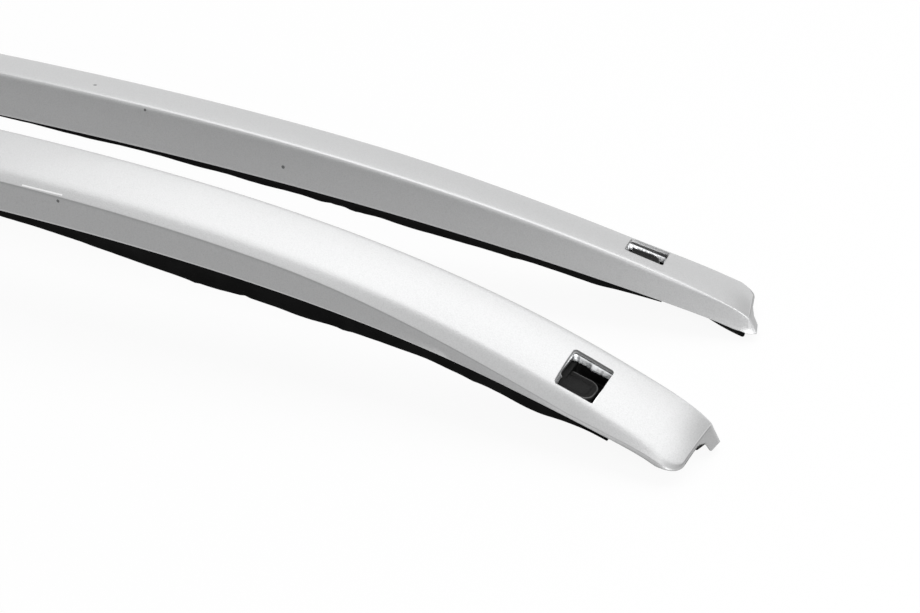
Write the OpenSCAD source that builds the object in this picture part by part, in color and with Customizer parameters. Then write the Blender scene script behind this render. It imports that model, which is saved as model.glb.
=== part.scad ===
// Pair of roof side rails, left hand and right hand, lying side by side.
// X runs forward along the rails, Y across the pair and Z up. The origin is on the
// floor under the middle of the pair. Every place on a rail is given by x along it,
// by a across its top from the crease towards the short wall, and by a height.

/* [Rail] */
// Length of each rail from tip to tip
rail_len = 1720; // [1640:10:1800]
// Width across the top at the middle
top_w = 37; // [34:0.5:42]
// Extra width gained towards both ends
flare = 3; // [1:0.5:5]
// Further extra width close to the tips
tip_flare = 2.5; // [1:0.5:4]
// Height of the tall wall at the middle
mid_depth = 26.5; // [25:0.5:32]
// Height that the walls lose towards the tips
tip_taper = 16; // [12:0.5:16]
// Slope of the top down towards the shoulder at the middle, in degrees
mid_tilt = 8.5; // [7:0.5:9.5]
// The same slope near the tips
tip_tilt = 11.5; // [10:0.5:12]
// Rise of the crowned top above its chord at the middle
mid_crown = 1; // [0.6:0.1:1.4]
// The same rise near the tips
tip_crown = 1.8; // [1.4:0.1:2]
// Distance from the tips at which these middle values start to change
change_from = 220; // [180:10:260]
// Distance from the tips at which the tips' values are reached
change_to = 80; // [78:1:100]
// Thickness of the skin
wall = 2.2; // [1.8:0.1:2.4]
// Width of the sloping shoulder band at the middle
mid_band = 5.5; // [5:0.25:6]
// Width of the band near the tips
tip_band = 4; // [3.8:0.1:4.2]
// Slope from the crease down to the edge between the band and the short wall, in degrees
edge_tilt = 12.5; // [12:0.5:13]
// Further drop of that edge near the tips
edge_extra = 4.5; // [3:0.5:5]
// Least height of the short wall under that edge
least_wall = 2; // [1.8:0.1:2.2]
// Distance over which the top bends into the band
soft_bend = 3; // [2:0.25:3]
// Size of the small chamfer between the band and the short wall
edge_chamfer = 0.8; // [0.4:0.1:1]
// Distance over which the crease rounds into the tall wall
crease = 1.6; // [1:0.2:2.2]
// Outward draft of the short wall
short_draft = 1; // [0.5:0.25:2]
// Outward draft of the tall wall
tall_draft = 2; // [1:0.25:3]

/* [Tips] */
// Plan radius of the rounded corner at each tip
corner_r = 16; // [12:1:18]
// Depth of the turned lip round each tip
tip_lip = 3.2; // [2.8:0.1:4]
// Width of the tab that closes the tall side of each tip
tab_w = 10.5; // [9:0.5:13]
// Forward lean of the tip face for each unit of its depth
tip_lean = 0.45; // [0.3:0.05:0.6]

/* [Arch and bow] */
// Drop of the gentle arch over the whole rail
mid_drop = 5; // [3:0.5:12]
// Drop of the steeper arch towards the ends
end_drop = 71; // [60:1:80]
// Last drop that turns each tip down
tip_drop = 3; // [1:0.5:5]
// Length over which that last drop acts
tip_len = 11; // [9:1:16]
// Inward bow of the middle in plan
mid_bow = 8; // [4:1:12]
// Outward bow of the ends in plan
end_bow = 27; // [22:1:32]

/* [Pair] */
// Gap between the two creases at the middle
pair_gap = 63; // [55:1:90]
// Distance by which the right rail lies behind the left one
stagger = 8; // [0:1:20]

/* [Crossbar windows] */
// Distance of each window's middle from its tip
win_from_tip = 58.5; // [56:0.5:64]
// Length of each window along the rail
win_len = 21.5; // [20:0.5:23]
// Width of each window across the rail
win_w = 23.5; // [21:0.5:24]
// Distance of each window from the crease
win_in = 10.5; // [10:0.5:11.5]

/* [Anchor plates] */
// Thickness of the steel plate under each window
plate_t = 3; // [2:0.25:3.25]
// Length of the plate along the rail
plate_len = 42; // [40:1:46]
// Width of the plate across the rail
plate_w = 27; // [25.5:0.5:27.5]
// Step by which the plate's opening is smaller than the window
plate_step = 0.6; // [0.4:0.1:1]
// Diameter of the tapping holes for the cup screws
tap_d = 2.5; // [2.3:0.1:2.6]

/* [Anchor cups] */
// Wall and floor thickness of the moulded cup under each plate
cup_wall = 1.5; // [1.2:0.1:1.6]
// Height of the cup's underside above the rim of the rail
cup_rise = 0.6; // [0.4:0.1:0.8]
// Length of the raised seat on the cup's floor
seat_len = 20; // [18:0.5:21]
// Width of the raised seat
seat_w = 11.5; // [10:0.5:12.5]
// Height of the raised seat
seat_h = 4; // [3:0.1:4.4]
// Distance of the seat's middle from the window's middle, towards the middle of the rail
seat_back = 4.4; // [3.8:0.1:5]
// Distance of the seat's middle from the window's middle, towards the crease
seat_aside = 3; // [2.5:0.1:3.4]
// Width of the screw posts at both ends of the cup
post_w = 8; // [7.5:0.5:9]
// Length of each screw post
post_len = 6.4; // [6.2:0.1:6.8]

/* [Cup screws] */
// Thread diameter of the cup screws
cup_screw_d = 2.4; // [2:0.1:2.4]
// Head diameter of the cup screws
cup_screw_head = 4.6; // [4.2:0.1:4.8]
// Head height of the cup screws
cup_screw_head_h = 1.4; // [1.2:0.1:1.6]

/* [Carrier channel] */
// Sheet thickness of the channel
channel_t = 1.6; // [1.2:0.1:1.8]
// Distance of the channel from the crease
channel_in = 5.5; // [5:0.25:6.5]
// Distance of the channel from the corner of the short wall
channel_out = 8.5; // [8.5:0.25:10]
// Height of the channel's lips above the rim of the rail
channel_rise = 7; // [6:0.5:8]
// Width of the slot between the lips
slot_w = 11; // [10.6:0.2:12]
// Distance of the channel's ends from the tips
channel_end = 140; // [130:1:180]

/* [Mounting feet] */
// Distance of the outer feet from the tips
foot_from_tip = 225; // [200:5:260]
// Distance of the inner feet from the middle
foot_inner = 212; // [150:2:260]
// Length of each foot along the rail
foot_len = 36; // [32:1:44]
// Width of each foot
foot_w = 20; // [18:0.5:21]
// Depth of the feet below the rim of the rail
foot_drop = 1; // [0.5:0.25:2]
// Wall thickness round the moulded pockets of a foot
foot_wall = 2; // [1.6:0.1:2.4]
// Diameter of the tapped bore in each insert
thread_d = 5; // [4:0.1:5.5]
// Outer diameter of the insert's shank
insert_d = 10; // [9.6:0.1:10.2]
// Length of the insert's head along the rail
insert_head_len = 20; // [18:1:24]
// Width of the insert's head across the slot
insert_head_w = 16; // [15:0.5:17]
// Thickness of the insert's head
insert_head_t = 3; // [2:0.25:4]
// Depth of the tapped bore from the foot's face
thread_depth = 9; // [7:0.5:10]
// Outer diameter of the sealing ring under each foot
ring_d = 18; // [16:0.5:19]
// Inner diameter of the sealing ring
ring_bore = 11; // [10.5:0.25:12]
// Thickness of the sealing ring
ring_t = 2.5; // [2:0.25:3]

/* [Edge seals] */
// Sheet thickness of the rubber seals
seal_t = 2; // [1.5:0.1:2.4]
// Height of the seals inside the walls
seal_grip = 5; // [4:0.25:5.5]
// Distance of the seals' ends from the tips
seal_end = 50; // [49:1:60]
// Hang of both seals at their very ends
seal_thin = 0.6; // [0.5:0.05:0.8]
// Length over which the seals swell to their full hang
seal_swell = 30; // [20:1:60]
// Hang of the short wall's seal along its level stretch
short_hang = 5.6; // [3:0.25:6]
// Extra hang of the short wall's seal at its deepest place
short_sag = 4.8; // [4:0.2:7]
// Distance of that deepest place from the tip
short_sag_at = 252; // [230:2:280]
// Reach of the deep stretch to each side
short_sag_reach = 70; // [50:1:80]
// Hang of the tall wall's seal along its level stretch
tall_hang = 1; // [0.8:0.1:2]
// Distance from the tip past which the short wall's seal draws in
seal_fade_at = 330; // [320:5:400]
// Length over which it draws in
seal_fade_len = 100; // [60:5:200]
// Share of its hang that it loses there
seal_fade = 0.8; // [0:0.05:0.9]
// Extra hang of the tall wall's seal at its deepest place
tall_sag = 4; // [3:0.2:5]
// Distance of that deepest place from the tip
tall_sag_at = 195; // [150:2:200]
// Reach of that stretch to each side
tall_sag_reach = 120; // [90:1:130]

/* [Tip pads] */
// Distance between the floor and the rail's tip face
pad_stand = 1.8; // [1.4:0.1:2.4]
// Length of the rubber pad in each tip
pad_len = 20; // [16:1:22]
// Width of the pad
pad_w = 17; // [14:0.5:18]
// Radius of the pad's nose
pad_nose = 2; // [1.5:0.1:2.4]
// Angle at which the pad's underside rises from the floor, in degrees
pad_rise = 30; // [20:1:36]

/* [Clearances] */
// Gap between a fitted piece and the piece that holds it
fit = 0.3; // [0.2:0.05:0.35]
// Gap between the channel's web and the skin
channel_fit = 0.4; // [0.3:0.05:0.5]
// Gap between the anchor plate and the skin at the plate's middle
plate_fit = 0.6; // [0.55:0.05:0.7]

/* [Hidden] */

$fn = 48;
// Powers that shape the arch, the bow, the flare and the taper along the rail
arch_pow = 4.8;
bow_pow = 6;
flare_pow = 8;
taper_pow = 5.4;
// Numbers of steps that the surfaces are worked out in
mid_steps = 11;
end_steps = 9;
corner_steps = 6;
shoulder_steps = 2;
crease_steps = 2;
nose_steps = 8;
// Shares of the skin's thickness and of the band's width that the rounded corners keep to
inner_round = 0.5;
band_share = 0.45;
chamfer_share = 0.3;
// Shares of the skin's thickness by which its inner corners step in at the bend and the edge
bend_step = 0.45;
edge_step = 0.5;
// Largest share of a wall's inner height that a seal grips
grip_share = 0.5;
// Share of its hang that a seal's inner side keeps
seal_heel = 0.4;
// Share of the plate's thickness that a cup screw's thread holds in
thread_share = 0.6;
// Least width of the flat between the windows' outer side and the bend
least_ledge = 0.1;
// Small overlap that lets a cut pass cleanly through a face
cut = 1;
// Largest cut that clears everything above or beside a piece
beyond = 60;

half_len = rail_len / 2;
tip_depth = mid_depth - tip_taper;
crest_z = mid_drop + end_drop + tip_drop + tip_depth + pad_stand;
win_x = half_len - win_from_tip;
win_mid = win_in + win_w / 2;
corner_x = half_len - corner_r;

// Position along the rail as a share of its half length
function share(x) = abs(x) / half_len;
// Height of the crease
function crease_z(x) = crest_z - mid_drop * pow(share(x), 2) - end_drop * pow(share(x), arch_pow)
    - tip_drop * exp((abs(x) - half_len) / tip_len);
// Slope of the crease
function crease_slope(x) = -sign(x) * ((2 * mid_drop * share(x)
    + arch_pow * end_drop * pow(share(x), arch_pow - 1)) / half_len
    + tip_drop / tip_len * exp((abs(x) - half_len) / tip_len));
// Plan position of the crease and its heading in degrees
function crease_y(x) = -pair_gap / 2 + mid_bow * pow(share(x), 2) - end_bow * pow(share(x), bow_pow);
function heading(x) = atan(sign(x) * (2 * mid_bow * share(x)
    - bow_pow * end_bow * pow(share(x), bow_pow - 1)) / half_len);
// Width across the top before the corner at the tip takes its share
function width(x) = top_w + flare * pow(share(x), 2) + tip_flare * pow(share(x), flare_pow);
// Height of the tall wall and the slope of its lower rim
function depth(x) = mid_depth - tip_taper * pow(share(x), taper_pow);
function rim_slope(x) = crease_slope(x)
    + sign(x) * tip_taper * taper_pow * pow(share(x), taper_pow - 1) / half_len;
// Smooth step from 0 to 1 between two places, and a value part of the way between two others
function ease(v, from, to) = let (t = min(max((v - from) / (to - from), 0), 1)) t * t * (3 - 2 * t);
function mixed(from, to, t) = from + (to - from) * t;
// How far the section at x has changed from the middle's to the tip's
function near_tip(x) = ease(abs(x), half_len - change_from, half_len - change_to);
function tilt(x) = mixed(mid_tilt, tip_tilt, near_tip(x));
function crown(x) = mixed(mid_crown, tip_crown, near_tip(x));
function band(x) = mixed(mid_band, tip_band, near_tip(x));
function bend_a(x) = width(x) - band(x);
// Height of the top at a, measured from the crease
function top(x, a) = -a * tan(tilt(x)) + 4 * crown(x) * a / bend_a(x) * (1 - a / bend_a(x));
function top_slope(x, a) = -tan(tilt(x)) + 4 * crown(x) / bend_a(x) * (1 - 2 * a / bend_a(x));
// Height of the edge between the shoulder band and the short wall
function edge_h(x) = max(-width(x) * tan(edge_tilt) - edge_extra * near_tip(x), least_wall - depth(x));

// Point in space for a place across the rail and a height above the crease
function place(x, a, h) = [
    x + a * sin(heading(x)),
    crease_y(x) - a * cos(heading(x)),
    crease_z(x) + h
];

// A station is a place along the rail and an angle round the corner at the tip
function station_x(st, inset) = st[0] + sign(st[0]) * (corner_r - inset) * sin(st[1]);
function station_w(st, inset) = width(station_x(st, inset)) - inset
    - (corner_r - inset) * (1 - cos(st[1]));
function turn(st) = st[1] / 90;
// Depth of the short wall's rim, which becomes the thin lip round the tip
function short_depth(st) = let (x = station_x(st, 0))
    mixed(depth(x), tip_lip - top(x, station_w(st, 0)), turn(st));

function steps(from, to, n, first) = [for (i = [first : n]) from + (to - from) * i / n];
mid_reach = half_len * 0.7;
front_stations = concat(
    [for (x = steps(0, mid_reach, mid_steps, 0)) [x, 0]],
    [for (x = steps(mid_reach, win_x - win_len / 2, end_steps, 1)) [x, 0]],
    [[win_x, 0], [win_x + win_len / 2, 0]],
    [for (x = steps(win_x + win_len / 2, corner_x, 3, 1)) [x, 0]],
    [for (t = steps(0, 90, corner_steps, 1)) [corner_x, t]]
);
stations = concat(
    [for (i = [len(front_stations) - 1 : -1 : 1]) [-front_stations[i][0], front_stations[i][1]]],
    front_stations
);
front_n = len(front_stations);
station_n = len(stations);

// Points of a corner that is rounded from one side to the other
function rounded(from, corner, to, n) = [for (i = [0 : n]) let (t = i / n)
    from * (1 - t) * (1 - t) + corner * 2 * t * (1 - t) + to * t * t];

// Section of the skin at a station, from the short rim over the top to the tall rim
function skin_section(st, inset) = let (
    x = station_x(st, inset),
    w = station_w(st, inset),
    rim = [w + short_draft, -short_depth(st)],
    edge_tip = top(x, w) - (tip_lip - least_wall),
    edge = [w, mixed(edge_h(x), edge_tip, turn(st)) - inset * edge_step],
    bend_out = w + inset - band(x) * (1 - turn(st) / 2),
    bend = [bend_out - inset * bend_step, top(x, bend_out) - inset],
    fall = edge - bend,
    soft = min(soft_bend - inset * inner_round, norm(fall) * band_share),
    chamfer = min(edge_chamfer, norm(fall) * chamfer_share, norm(rim - edge) * chamfer_share),
    w0 = min(win_in + win_w, bend[0] - soft - least_ledge),
    w1 = turn(st) > 0 ? tab_w : win_in,
    round_in = crease - inset * inner_round,
    ridge = [inset, top(x, inset) - inset],
    foot = [inset - tall_draft, -depth(x)],
    wall_dir = (foot - ridge) / norm(foot - ridge)
) concat(
    [rim, edge + (rim - edge) / norm(rim - edge) * chamfer, edge - fall / norm(fall) * chamfer],
    rounded(bend + fall / norm(fall) * soft, bend,
        [bend[0] - soft, top(x, bend[0] - soft) - inset], shoulder_steps),
    [for (a = [w0, (w0 + w1) / 2, w1]) [a, top(x, a) - inset]],
    rounded([inset + round_in, top(x, inset + round_in) - inset], ridge, ridge + wall_dir * round_in,
        crease_steps),
    [foot]
);

// Point of the skin, which leans forward round the tip in step with its depth
function leant(st, x, a, h) = place(x, a, h)
    + [sign(x) * tip_lean * turn(st) * (top(x, max(a, 0)) - h), 0, 0];
function skin_ring(st, inset) = [for (p = skin_section(st, inset))
    leant(st, station_x(st, inset), p[0], p[1])];

ring_n = len(skin_section(stations[0], 0));
last = ring_n - 1;
// Places in a ring of the window's sides
win_j0 = shoulder_steps + 4;
win_j1 = win_j0 + 2;

// Lower edge of a tip face: the lip under the top and the corner of the tab
function tip_edge(st, inset) = let (x = station_x(st, inset), s = skin_section(st, inset)) concat(
    [for (j = [win_j0 : win_j1]) leant(st, x, s[j][0], top(x, s[j][0]) - tip_lip)],
    [leant(st, x, s[win_j1][0], -depth(x))]
);

// Places of the skin's stations out to a reach, which every long bar shares
function bar_places(reach) = concat([-reach],
    [for (st = stations) if (st[1] == 0 && abs(st[0]) < reach - 1) st[0]], [reach]);

function quad(a, b, c, d) = [[a, b, c], [a, c, d]];
function flipped(faces) = [for (f = faces) [f[2], f[1], f[0]]];
function flat(lists) = [for (l = lists) for (f = l) f];

// Faces of one skin between its rings, with the two windows left open
function window_at(i, j) = j >= win_j0 && j < win_j1 && (
    (i >= front_win && i < front_win + 2) || (i >= rear_win && i < rear_win + 2));
front_win = front_n - 1 + mid_steps + end_steps;
rear_win = station_n - 1 - front_win - 2;
function skin_faces(base) = flat([for (i = [0 : station_n - 2]) for (j = [0 : last - 1])
    if (!window_at(i, j))
        quad(base + i * ring_n + j, base + i * ring_n + j + 1,
            base + (i + 1) * ring_n + j + 1, base + (i + 1) * ring_n + j)]);
// Walls of a window between the outer and the inner skin
function window_walls(i0, base) = flat(concat(
    [for (i = [i0 : i0 + 1]) let (a = i * ring_n + win_j0, b = a + ring_n)
        quad(b, a, base + a, base + b)],
    [for (i = [i0 : i0 + 1]) let (a = i * ring_n + win_j1, b = a + ring_n)
        quad(a, b, base + b, base + a)],
    [for (j = [win_j0 : win_j1 - 1]) let (a = i0 * ring_n + j, b = a + 1)
        quad(a, b, base + b, base + a)],
    [for (j = [win_j0 : win_j1 - 1]) let (a = (i0 + 2) * ring_n + j, b = a + 1)
        quad(b, a, base + a, base + b)]
));
// Rims along both walls
function rim_faces(base) = flat([for (i = [0 : station_n - 2]) concat(
    quad(i * ring_n, (i + 1) * ring_n, base + (i + 1) * ring_n, base + i * ring_n),
    quad((i + 1) * ring_n + last, i * ring_n + last, base + i * ring_n + last,
        base + (i + 1) * ring_n + last)
)]);
// Tip face of one skin: a fan under the corner, the lip and the tab
function tip_face(r, e) = flat([
    [for (j = [0 : win_j0 - 1]) [e, r + j, r + j + 1]],
    [for (k = [0 : win_j1 - win_j0 - 1]) [e + k, r + win_j0 + k, r + win_j0 + k + 1]],
    [for (k = [0 : win_j1 - win_j0 - 1]) [e + k, r + win_j0 + k + 1, e + k + 1]],
    [[r + last, e + 3, e + 2], [r + last, e + 2, r + win_j1]],
    [for (j = [win_j1 : last - 2]) [r + last, r + j, r + j + 1]]
]);
// Underside of a tip face between the outer and the inner skin
function tip_rim(r, e, ri, ei) = flat([
    quad(r, e, ei, ri),
    quad(e, e + 1, ei + 1, ei),
    quad(e + 1, e + 2, ei + 2, ei + 1),
    quad(e + 2, e + 3, ei + 3, ei + 2),
    quad(e + 3, r + last, ri + last, ei + 3)
]);

module shell() {
    outer = flat([for (st = stations) skin_ring(st, 0)]);
    inner = flat([for (st = stations) skin_ring(st, wall)]);
    base = len(outer);
    e = 2 * base;
    rear = stations[0];
    front = stations[station_n - 1];
    front_ring = (station_n - 1) * ring_n;
    points = concat(outer, inner, tip_edge(rear, 0), tip_edge(front, 0),
        tip_edge(rear, wall), tip_edge(front, wall));
    faces = concat(
        skin_faces(0),
        flipped(skin_faces(base)),
        rim_faces(base),
        window_walls(front_win, base),
        window_walls(rear_win, base),
        flipped(tip_face(0, e)),
        tip_face(front_ring, e + 4),
        tip_face(base, e + 8),
        flipped(tip_face(base + front_ring, e + 12)),
        flipped(tip_rim(0, e, base, e + 8)),
        tip_rim(front_ring, e + 4, base + front_ring, e + 12)
    );
    color("silver") polyhedron(points = points, faces = faces, convexity = 10);
}

// Closed bar that carries one section, a closed loop of points, along the rail.
// The end faces are given as triangles of the section's own points, and a section
// whose points run the other way round has all its faces turned over.
module carried_bar(rings, end_face, turned = false) {
    n = len(rings[0]);
    m = len(rings);
    side = flat([for (i = [0 : m - 2]) for (j = [0 : n - 1]) let (k = (j + 1) % n)
        quad(i * n + j, i * n + k, (i + 1) * n + k, (i + 1) * n + j)]);
    far_face = [for (f = end_face) [for (j = f) (m - 1) * n + j]];
    faces = concat(side, flipped(end_face), far_face);
    polyhedron(points = flat(rings), faces = turned ? flipped(faces) : faces, convexity = 10);
}

// Carrier channel: a lipped C channel under the crowned top, with its slot facing down
function channel_out_a(x) = width(x) - channel_out;
function channel_mid(x) = (channel_in + channel_out_a(x)) / 2;
function channel_section(x) = let (
    t = channel_t,
    low = -depth(x) + channel_rise,
    a0 = channel_out_a(x),
    a1 = channel_in,
    mid = channel_mid(x),
    webs = [a0, (a0 + win_in) / 2, win_in, a1],
    under = wall + channel_fit
) concat(
    [[mid + slot_w / 2, low], [a0, low]],
    [for (a = webs) [a, top(x, a) - under]],
    [[a1, low], [mid - slot_w / 2, low], [mid - slot_w / 2, low + t], [a1 + t, low + t]],
    [for (k = [3 : -1 : 0])
        let (a = min(max(webs[k], a1 + t), a0 - t)) [a, top(x, webs[k]) - under - t]],
    [[a0 - t, low + t], [mid + slot_w / 2, low + t]]
);
module carrier_channel() {
    color("gainsboro")
        carried_bar(
            [for (x = bar_places(half_len - channel_end))
                [for (p = channel_section(x)) place(x, p[0], p[1])]],
            // The sheet's outside and its inside are joined point by point
            flat([for (j = [0 : 6]) quad(j, j + 1, 14 - j, 15 - j)]));
}

// Hang of the seals below the rims
function swell(u) = ease(u, seal_end, seal_end + seal_swell);
function short_seal_hang(x) = let (u = half_len - abs(x))
    seal_thin + (short_hang - seal_thin) * swell(u)
        * (1 - seal_fade * ease(u, seal_fade_at, seal_fade_at + seal_fade_len))
    + short_sag * exp(-pow((u - short_sag_at) / short_sag_reach, 2));
function tall_seal_hang(x) = let (u = half_len - abs(x))
    seal_thin + swell(u)
        * (tall_hang - seal_thin + tall_sag * exp(-pow((u - tall_sag_at) / tall_sag_reach, 2)));
// Section of a seal that grips the inside of a wall and hangs flush with its outside
function seal_section(out, into, rim, hang, draft, height) = let (
    grip = min(seal_grip, height * grip_share),
    taper = draft * grip / height
) [
    [out - into * (wall + fit + seal_t + taper), rim + grip],
    [out - into * (wall + fit + taper), rim + grip],
    [out - into * (wall + fit), rim - fit],
    [out - into * fit, rim - fit],
    [out - into * fit * 2, rim - fit - hang],
    [out - into * (fit * 2 + seal_t), rim - fit - hang],
    [out - into * (wall + fit + seal_t), rim - fit - hang * seal_heel]
];
module edge_seal(short) {
    color([0.08, 0.08, 0.08])
        carried_bar(
            [for (x = bar_places(half_len - seal_end))
                let (
                    w = width(x),
                    section = short
                        ? seal_section(w + short_draft, 1, -depth(x), short_seal_hang(x),
                            short_draft, edge_h(x) - wall * edge_step + depth(x))
                        : seal_section(-tall_draft, -1, -depth(x), tall_seal_hang(x),
                            tall_draft, top(x, wall) - wall + depth(x))
                )
                    [for (p = section) place(x, p[0], p[1])]],
            // The grip and the hanging lip meet at the rim
            [[0, 1, 2], [0, 2, 6], [2, 3, 4], [2, 4, 5], [2, 5, 6]],
            turned = short);
}

// Frame that sits on the top at a place, square to the surface
module on_top(x, a) {
    translate(place(x, a, top(x, a)))
        rotate([0, 0, heading(x)])
            rotate([0, -atan(crease_slope(x)), 0])
                rotate([-atan(top_slope(x, a)), 0, 0])
                    children();
}
// Frame that sits at the height of the rims, level across the rail
module on_rim(x, a) {
    translate(place(x, a, -depth(x)))
        rotate([0, 0, heading(x)])
            rotate([0, -atan(rim_slope(x)), 0])
                children();
}

// Solid roll about the crown's own axis: all that lies deeper than a given distance
module below_crown(x, deeper) {
    crown_r = pow(bend_a(x), 2) / (8 * crown(x));
    on_top(x, win_mid)
        translate([0, 0, -crown_r])
            rotate([0, 90, 0])
                cylinder(r = crown_r - deeper, h = beyond * 2, center = true, $fn = 96);
}

// Ends of a cup where its screw posts stand
post_x = win_len / 2 + fit + cup_wall + post_len / 2;
under_plate = wall + plate_fit + plate_t;

module at_screw(x, side) {
    on_rim(x, win_mid)
        translate([side * post_x, 0, 0])
            children();
}

module anchor_plate(x) {
    color("lightgray")
        difference() {
            intersection() {
                difference() {
                    below_crown(x, wall + plate_fit);
                    below_crown(x, under_plate);
                }
                on_top(x, win_mid)
                    translate([-plate_len / 2, -plate_w / 2, -beyond / 4])
                        cube([plate_len, plate_w, beyond / 2]);
            }
            on_top(x, win_mid)
                translate([-win_len / 2 + plate_step, -win_w / 2 + plate_step, -beyond / 2])
                    cube([win_len - plate_step * 2, win_w - plate_step * 2, beyond]);
            for (side = [-1, 1])
                at_screw(x, side)
                    cylinder(d = tap_d, h = beyond);
        }
}

module anchor_cup(x) {
    inner_len = win_len + fit * 2;
    inner_w = win_w + fit;
    color([0.1, 0.1, 0.1])
        difference() {
            intersection() {
                on_rim(x, win_mid) {
                    translate([-inner_len / 2 - cup_wall, -inner_w / 2 - cup_wall, cup_rise])
                        cube([inner_len + cup_wall * 2, inner_w + cup_wall * 2, beyond / 2]);
                    for (side = [-1, 1])
                        translate([side * (post_x - cut / 2) - (post_len + cut) / 2, -post_w / 2, cup_rise])
                            cube([post_len + cut, post_w, beyond / 2]);
                }
                below_crown(x, under_plate + fit);
            }
            difference() {
                on_rim(x, win_mid)
                    translate([-inner_len / 2, -inner_w / 2, cup_rise + cup_wall])
                        cube([inner_len, inner_w, beyond]);
                on_rim(x, win_mid)
                    translate([-sign(x) * seat_back, seat_aside, cup_rise])
                        linear_extrude(cup_wall + seat_h)
                            seat_outline();
            }
            for (side = [-1, 1])
                at_screw(x, side)
                    translate([0, 0, -cut]) {
                        cylinder(d = cup_screw_d + fit, h = beyond);
                        cylinder(d = cup_screw_head + fit * 2, h = cut + cup_rise + cup_screw_head_h + fit);
                    }
        }
}
// Outline with straight sides and round ends
module seat_outline() {
    square([seat_len - seat_w, seat_w], center = true);
    for (side = [-1, 1])
        translate([side * (seat_len - seat_w) / 2, 0])
            circle(d = seat_w);
}

// Height of the plate's underside over the rim at the screws, less a little
function screw_reach(x, side) = depth(x) + top(x, win_mid) - under_plate + plate_t * thread_share
    + side * post_x * (crease_slope(x) - rim_slope(x));
module cup_screws() {
    color("dimgray")
        for (x = [-win_x, win_x])
            for (side = [-1, 1])
                at_screw(x, side)
                    translate([0, 0, cup_rise]) {
                        cylinder(d = cup_screw_head, h = cup_screw_head_h);
                        cylinder(d = cup_screw_d, h = screw_reach(x, side) - cup_rise);
                    }
}

foot_places = [-half_len + foot_from_tip, -foot_inner, foot_inner, half_len - foot_from_tip];
module at_feet() {
    for (x = foot_places)
        on_rim(x, channel_mid(x))
            children();
}
foot_top = channel_rise - fit;
// Moulded pocket between the ring and each end of a foot
pocket_len = (foot_len - ring_d) / 2 - foot_wall * 2;
pocket_depth = foot_top - foot_wall;

module mounting_feet() {
    color([0.12, 0.12, 0.12])
        at_feet()
            difference() {
                translate([-foot_len / 2, -foot_w / 2, -foot_drop])
                    cube([foot_len, foot_w, foot_top + foot_drop]);
                translate([0, 0, -foot_drop - cut])
                    cylinder(d = insert_d + fit, h = foot_top + foot_drop + cut * 2);
                for (side = [-1, 1])
                    translate([side * (foot_len / 2 - foot_wall - pocket_len / 2), 0, -foot_drop - cut])
                        translate([-pocket_len / 2, -foot_w / 2 + foot_wall, 0])
                            cube([pocket_len, foot_w - foot_wall * 2, pocket_depth + cut]);
            }
}

// Slotted T insert: its head bears on the lips and its shank reaches down through the foot
module thread_inserts() {
    head_z = channel_rise + channel_t + fit;
    color("darkgray")
        at_feet()
            difference() {
                union() {
                    translate([-insert_head_len / 2, -insert_head_w / 2, head_z])
                        cube([insert_head_len, insert_head_w, insert_head_t]);
                    translate([0, 0, -foot_drop])
                        cylinder(d = insert_d, h = head_z + foot_drop + insert_head_t / 2);
                }
                translate([0, 0, -foot_drop - cut])
                    cylinder(d = thread_d, h = thread_depth + cut);
            }
}

module foot_rings() {
    color([0.05, 0.05, 0.05])
        at_feet()
            translate([0, 0, -foot_drop - ring_t])
                difference() {
                    cylinder(d = ring_d, h = ring_t);
                    translate([0, 0, -cut])
                        cylinder(d = ring_bore, h = ring_t + cut * 2);
                }
}

// Rubber pad in a tip: it fills the tip's hollow and its nose stands on the floor
module tip_pad(side) {
    front_x = half_len - wall - fit * 2;
    nose_x = front_x - pad_nose;
    back_x = front_x - pad_len;
    pad_mid = tab_w / 2 + pad_w / 2 - wall;
    color([0.06, 0.06, 0.06])
        mirror([side < 0 ? 1 : 0, 0, 0])
            translate(place(nose_x, pad_mid, -crease_z(nose_x)))
                rotate([0, 0, heading(nose_x)])
                    translate([0, pad_w / 2, 0])
                        rotate([90, 0, 0])
                            linear_extrude(pad_w)
                                pad_outline(back_x - nose_x,
                                    crease_z(nose_x) + top(nose_x, pad_mid + pad_w / 2),
                                    crease_z(back_x) + top(back_x, pad_mid + pad_w / 2));
}
// Side view of a pad, with the middle of its nose straight above the outline's origin
module pad_outline(back, top_front, top_back) {
    under = wall + fit;
    polygon(concat(
        [for (k = [0 : nose_steps]) let (t = -90 - pad_rise + k * (90 + pad_rise) / nose_steps)
            [pad_nose * cos(t), pad_nose * (1 + sin(t))]],
        [
            [pad_nose, top_front - under - pad_nose],
            [0, top_front - under],
            [back, top_back - under],
            [back, -back * tan(pad_rise)]
        ]
    ));
}

// The left rail is modelled on the -Y side and the right rail is its mirror image
module left_hand() {
    translate([stagger / 2, 0, 0]) children();
}
module right_hand() {
    translate([-stagger / 2, 0, 0]) mirror([0, 1, 0]) children();
}

left_hand() shell();  // left_shell
right_hand() shell();  // right_shell
left_hand() anchor_plate(win_x);  // left_front_anchor_plate
left_hand() anchor_plate(-win_x);  // left_rear_anchor_plate
right_hand() anchor_plate(win_x);  // right_front_anchor_plate
right_hand() anchor_plate(-win_x);  // right_rear_anchor_plate
left_hand() anchor_cup(win_x);  // left_front_anchor_cup
left_hand() anchor_cup(-win_x);  // left_rear_anchor_cup
right_hand() anchor_cup(win_x);  // right_front_anchor_cup
right_hand() anchor_cup(-win_x);  // right_rear_anchor_cup
left_hand() cup_screws();  // left_cup_screws
right_hand() cup_screws();  // right_cup_screws
left_hand() carrier_channel();  // left_carrier_channel
right_hand() carrier_channel();  // right_carrier_channel
left_hand() mounting_feet();  // left_mounting_feet
right_hand() mounting_feet();  // right_mounting_feet
left_hand() thread_inserts();  // left_thread_inserts
right_hand() thread_inserts();  // right_thread_inserts
left_hand() foot_rings();  // left_foot_rings
right_hand() foot_rings();  // right_foot_rings
left_hand() edge_seal(true);  // left_short_seal
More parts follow.
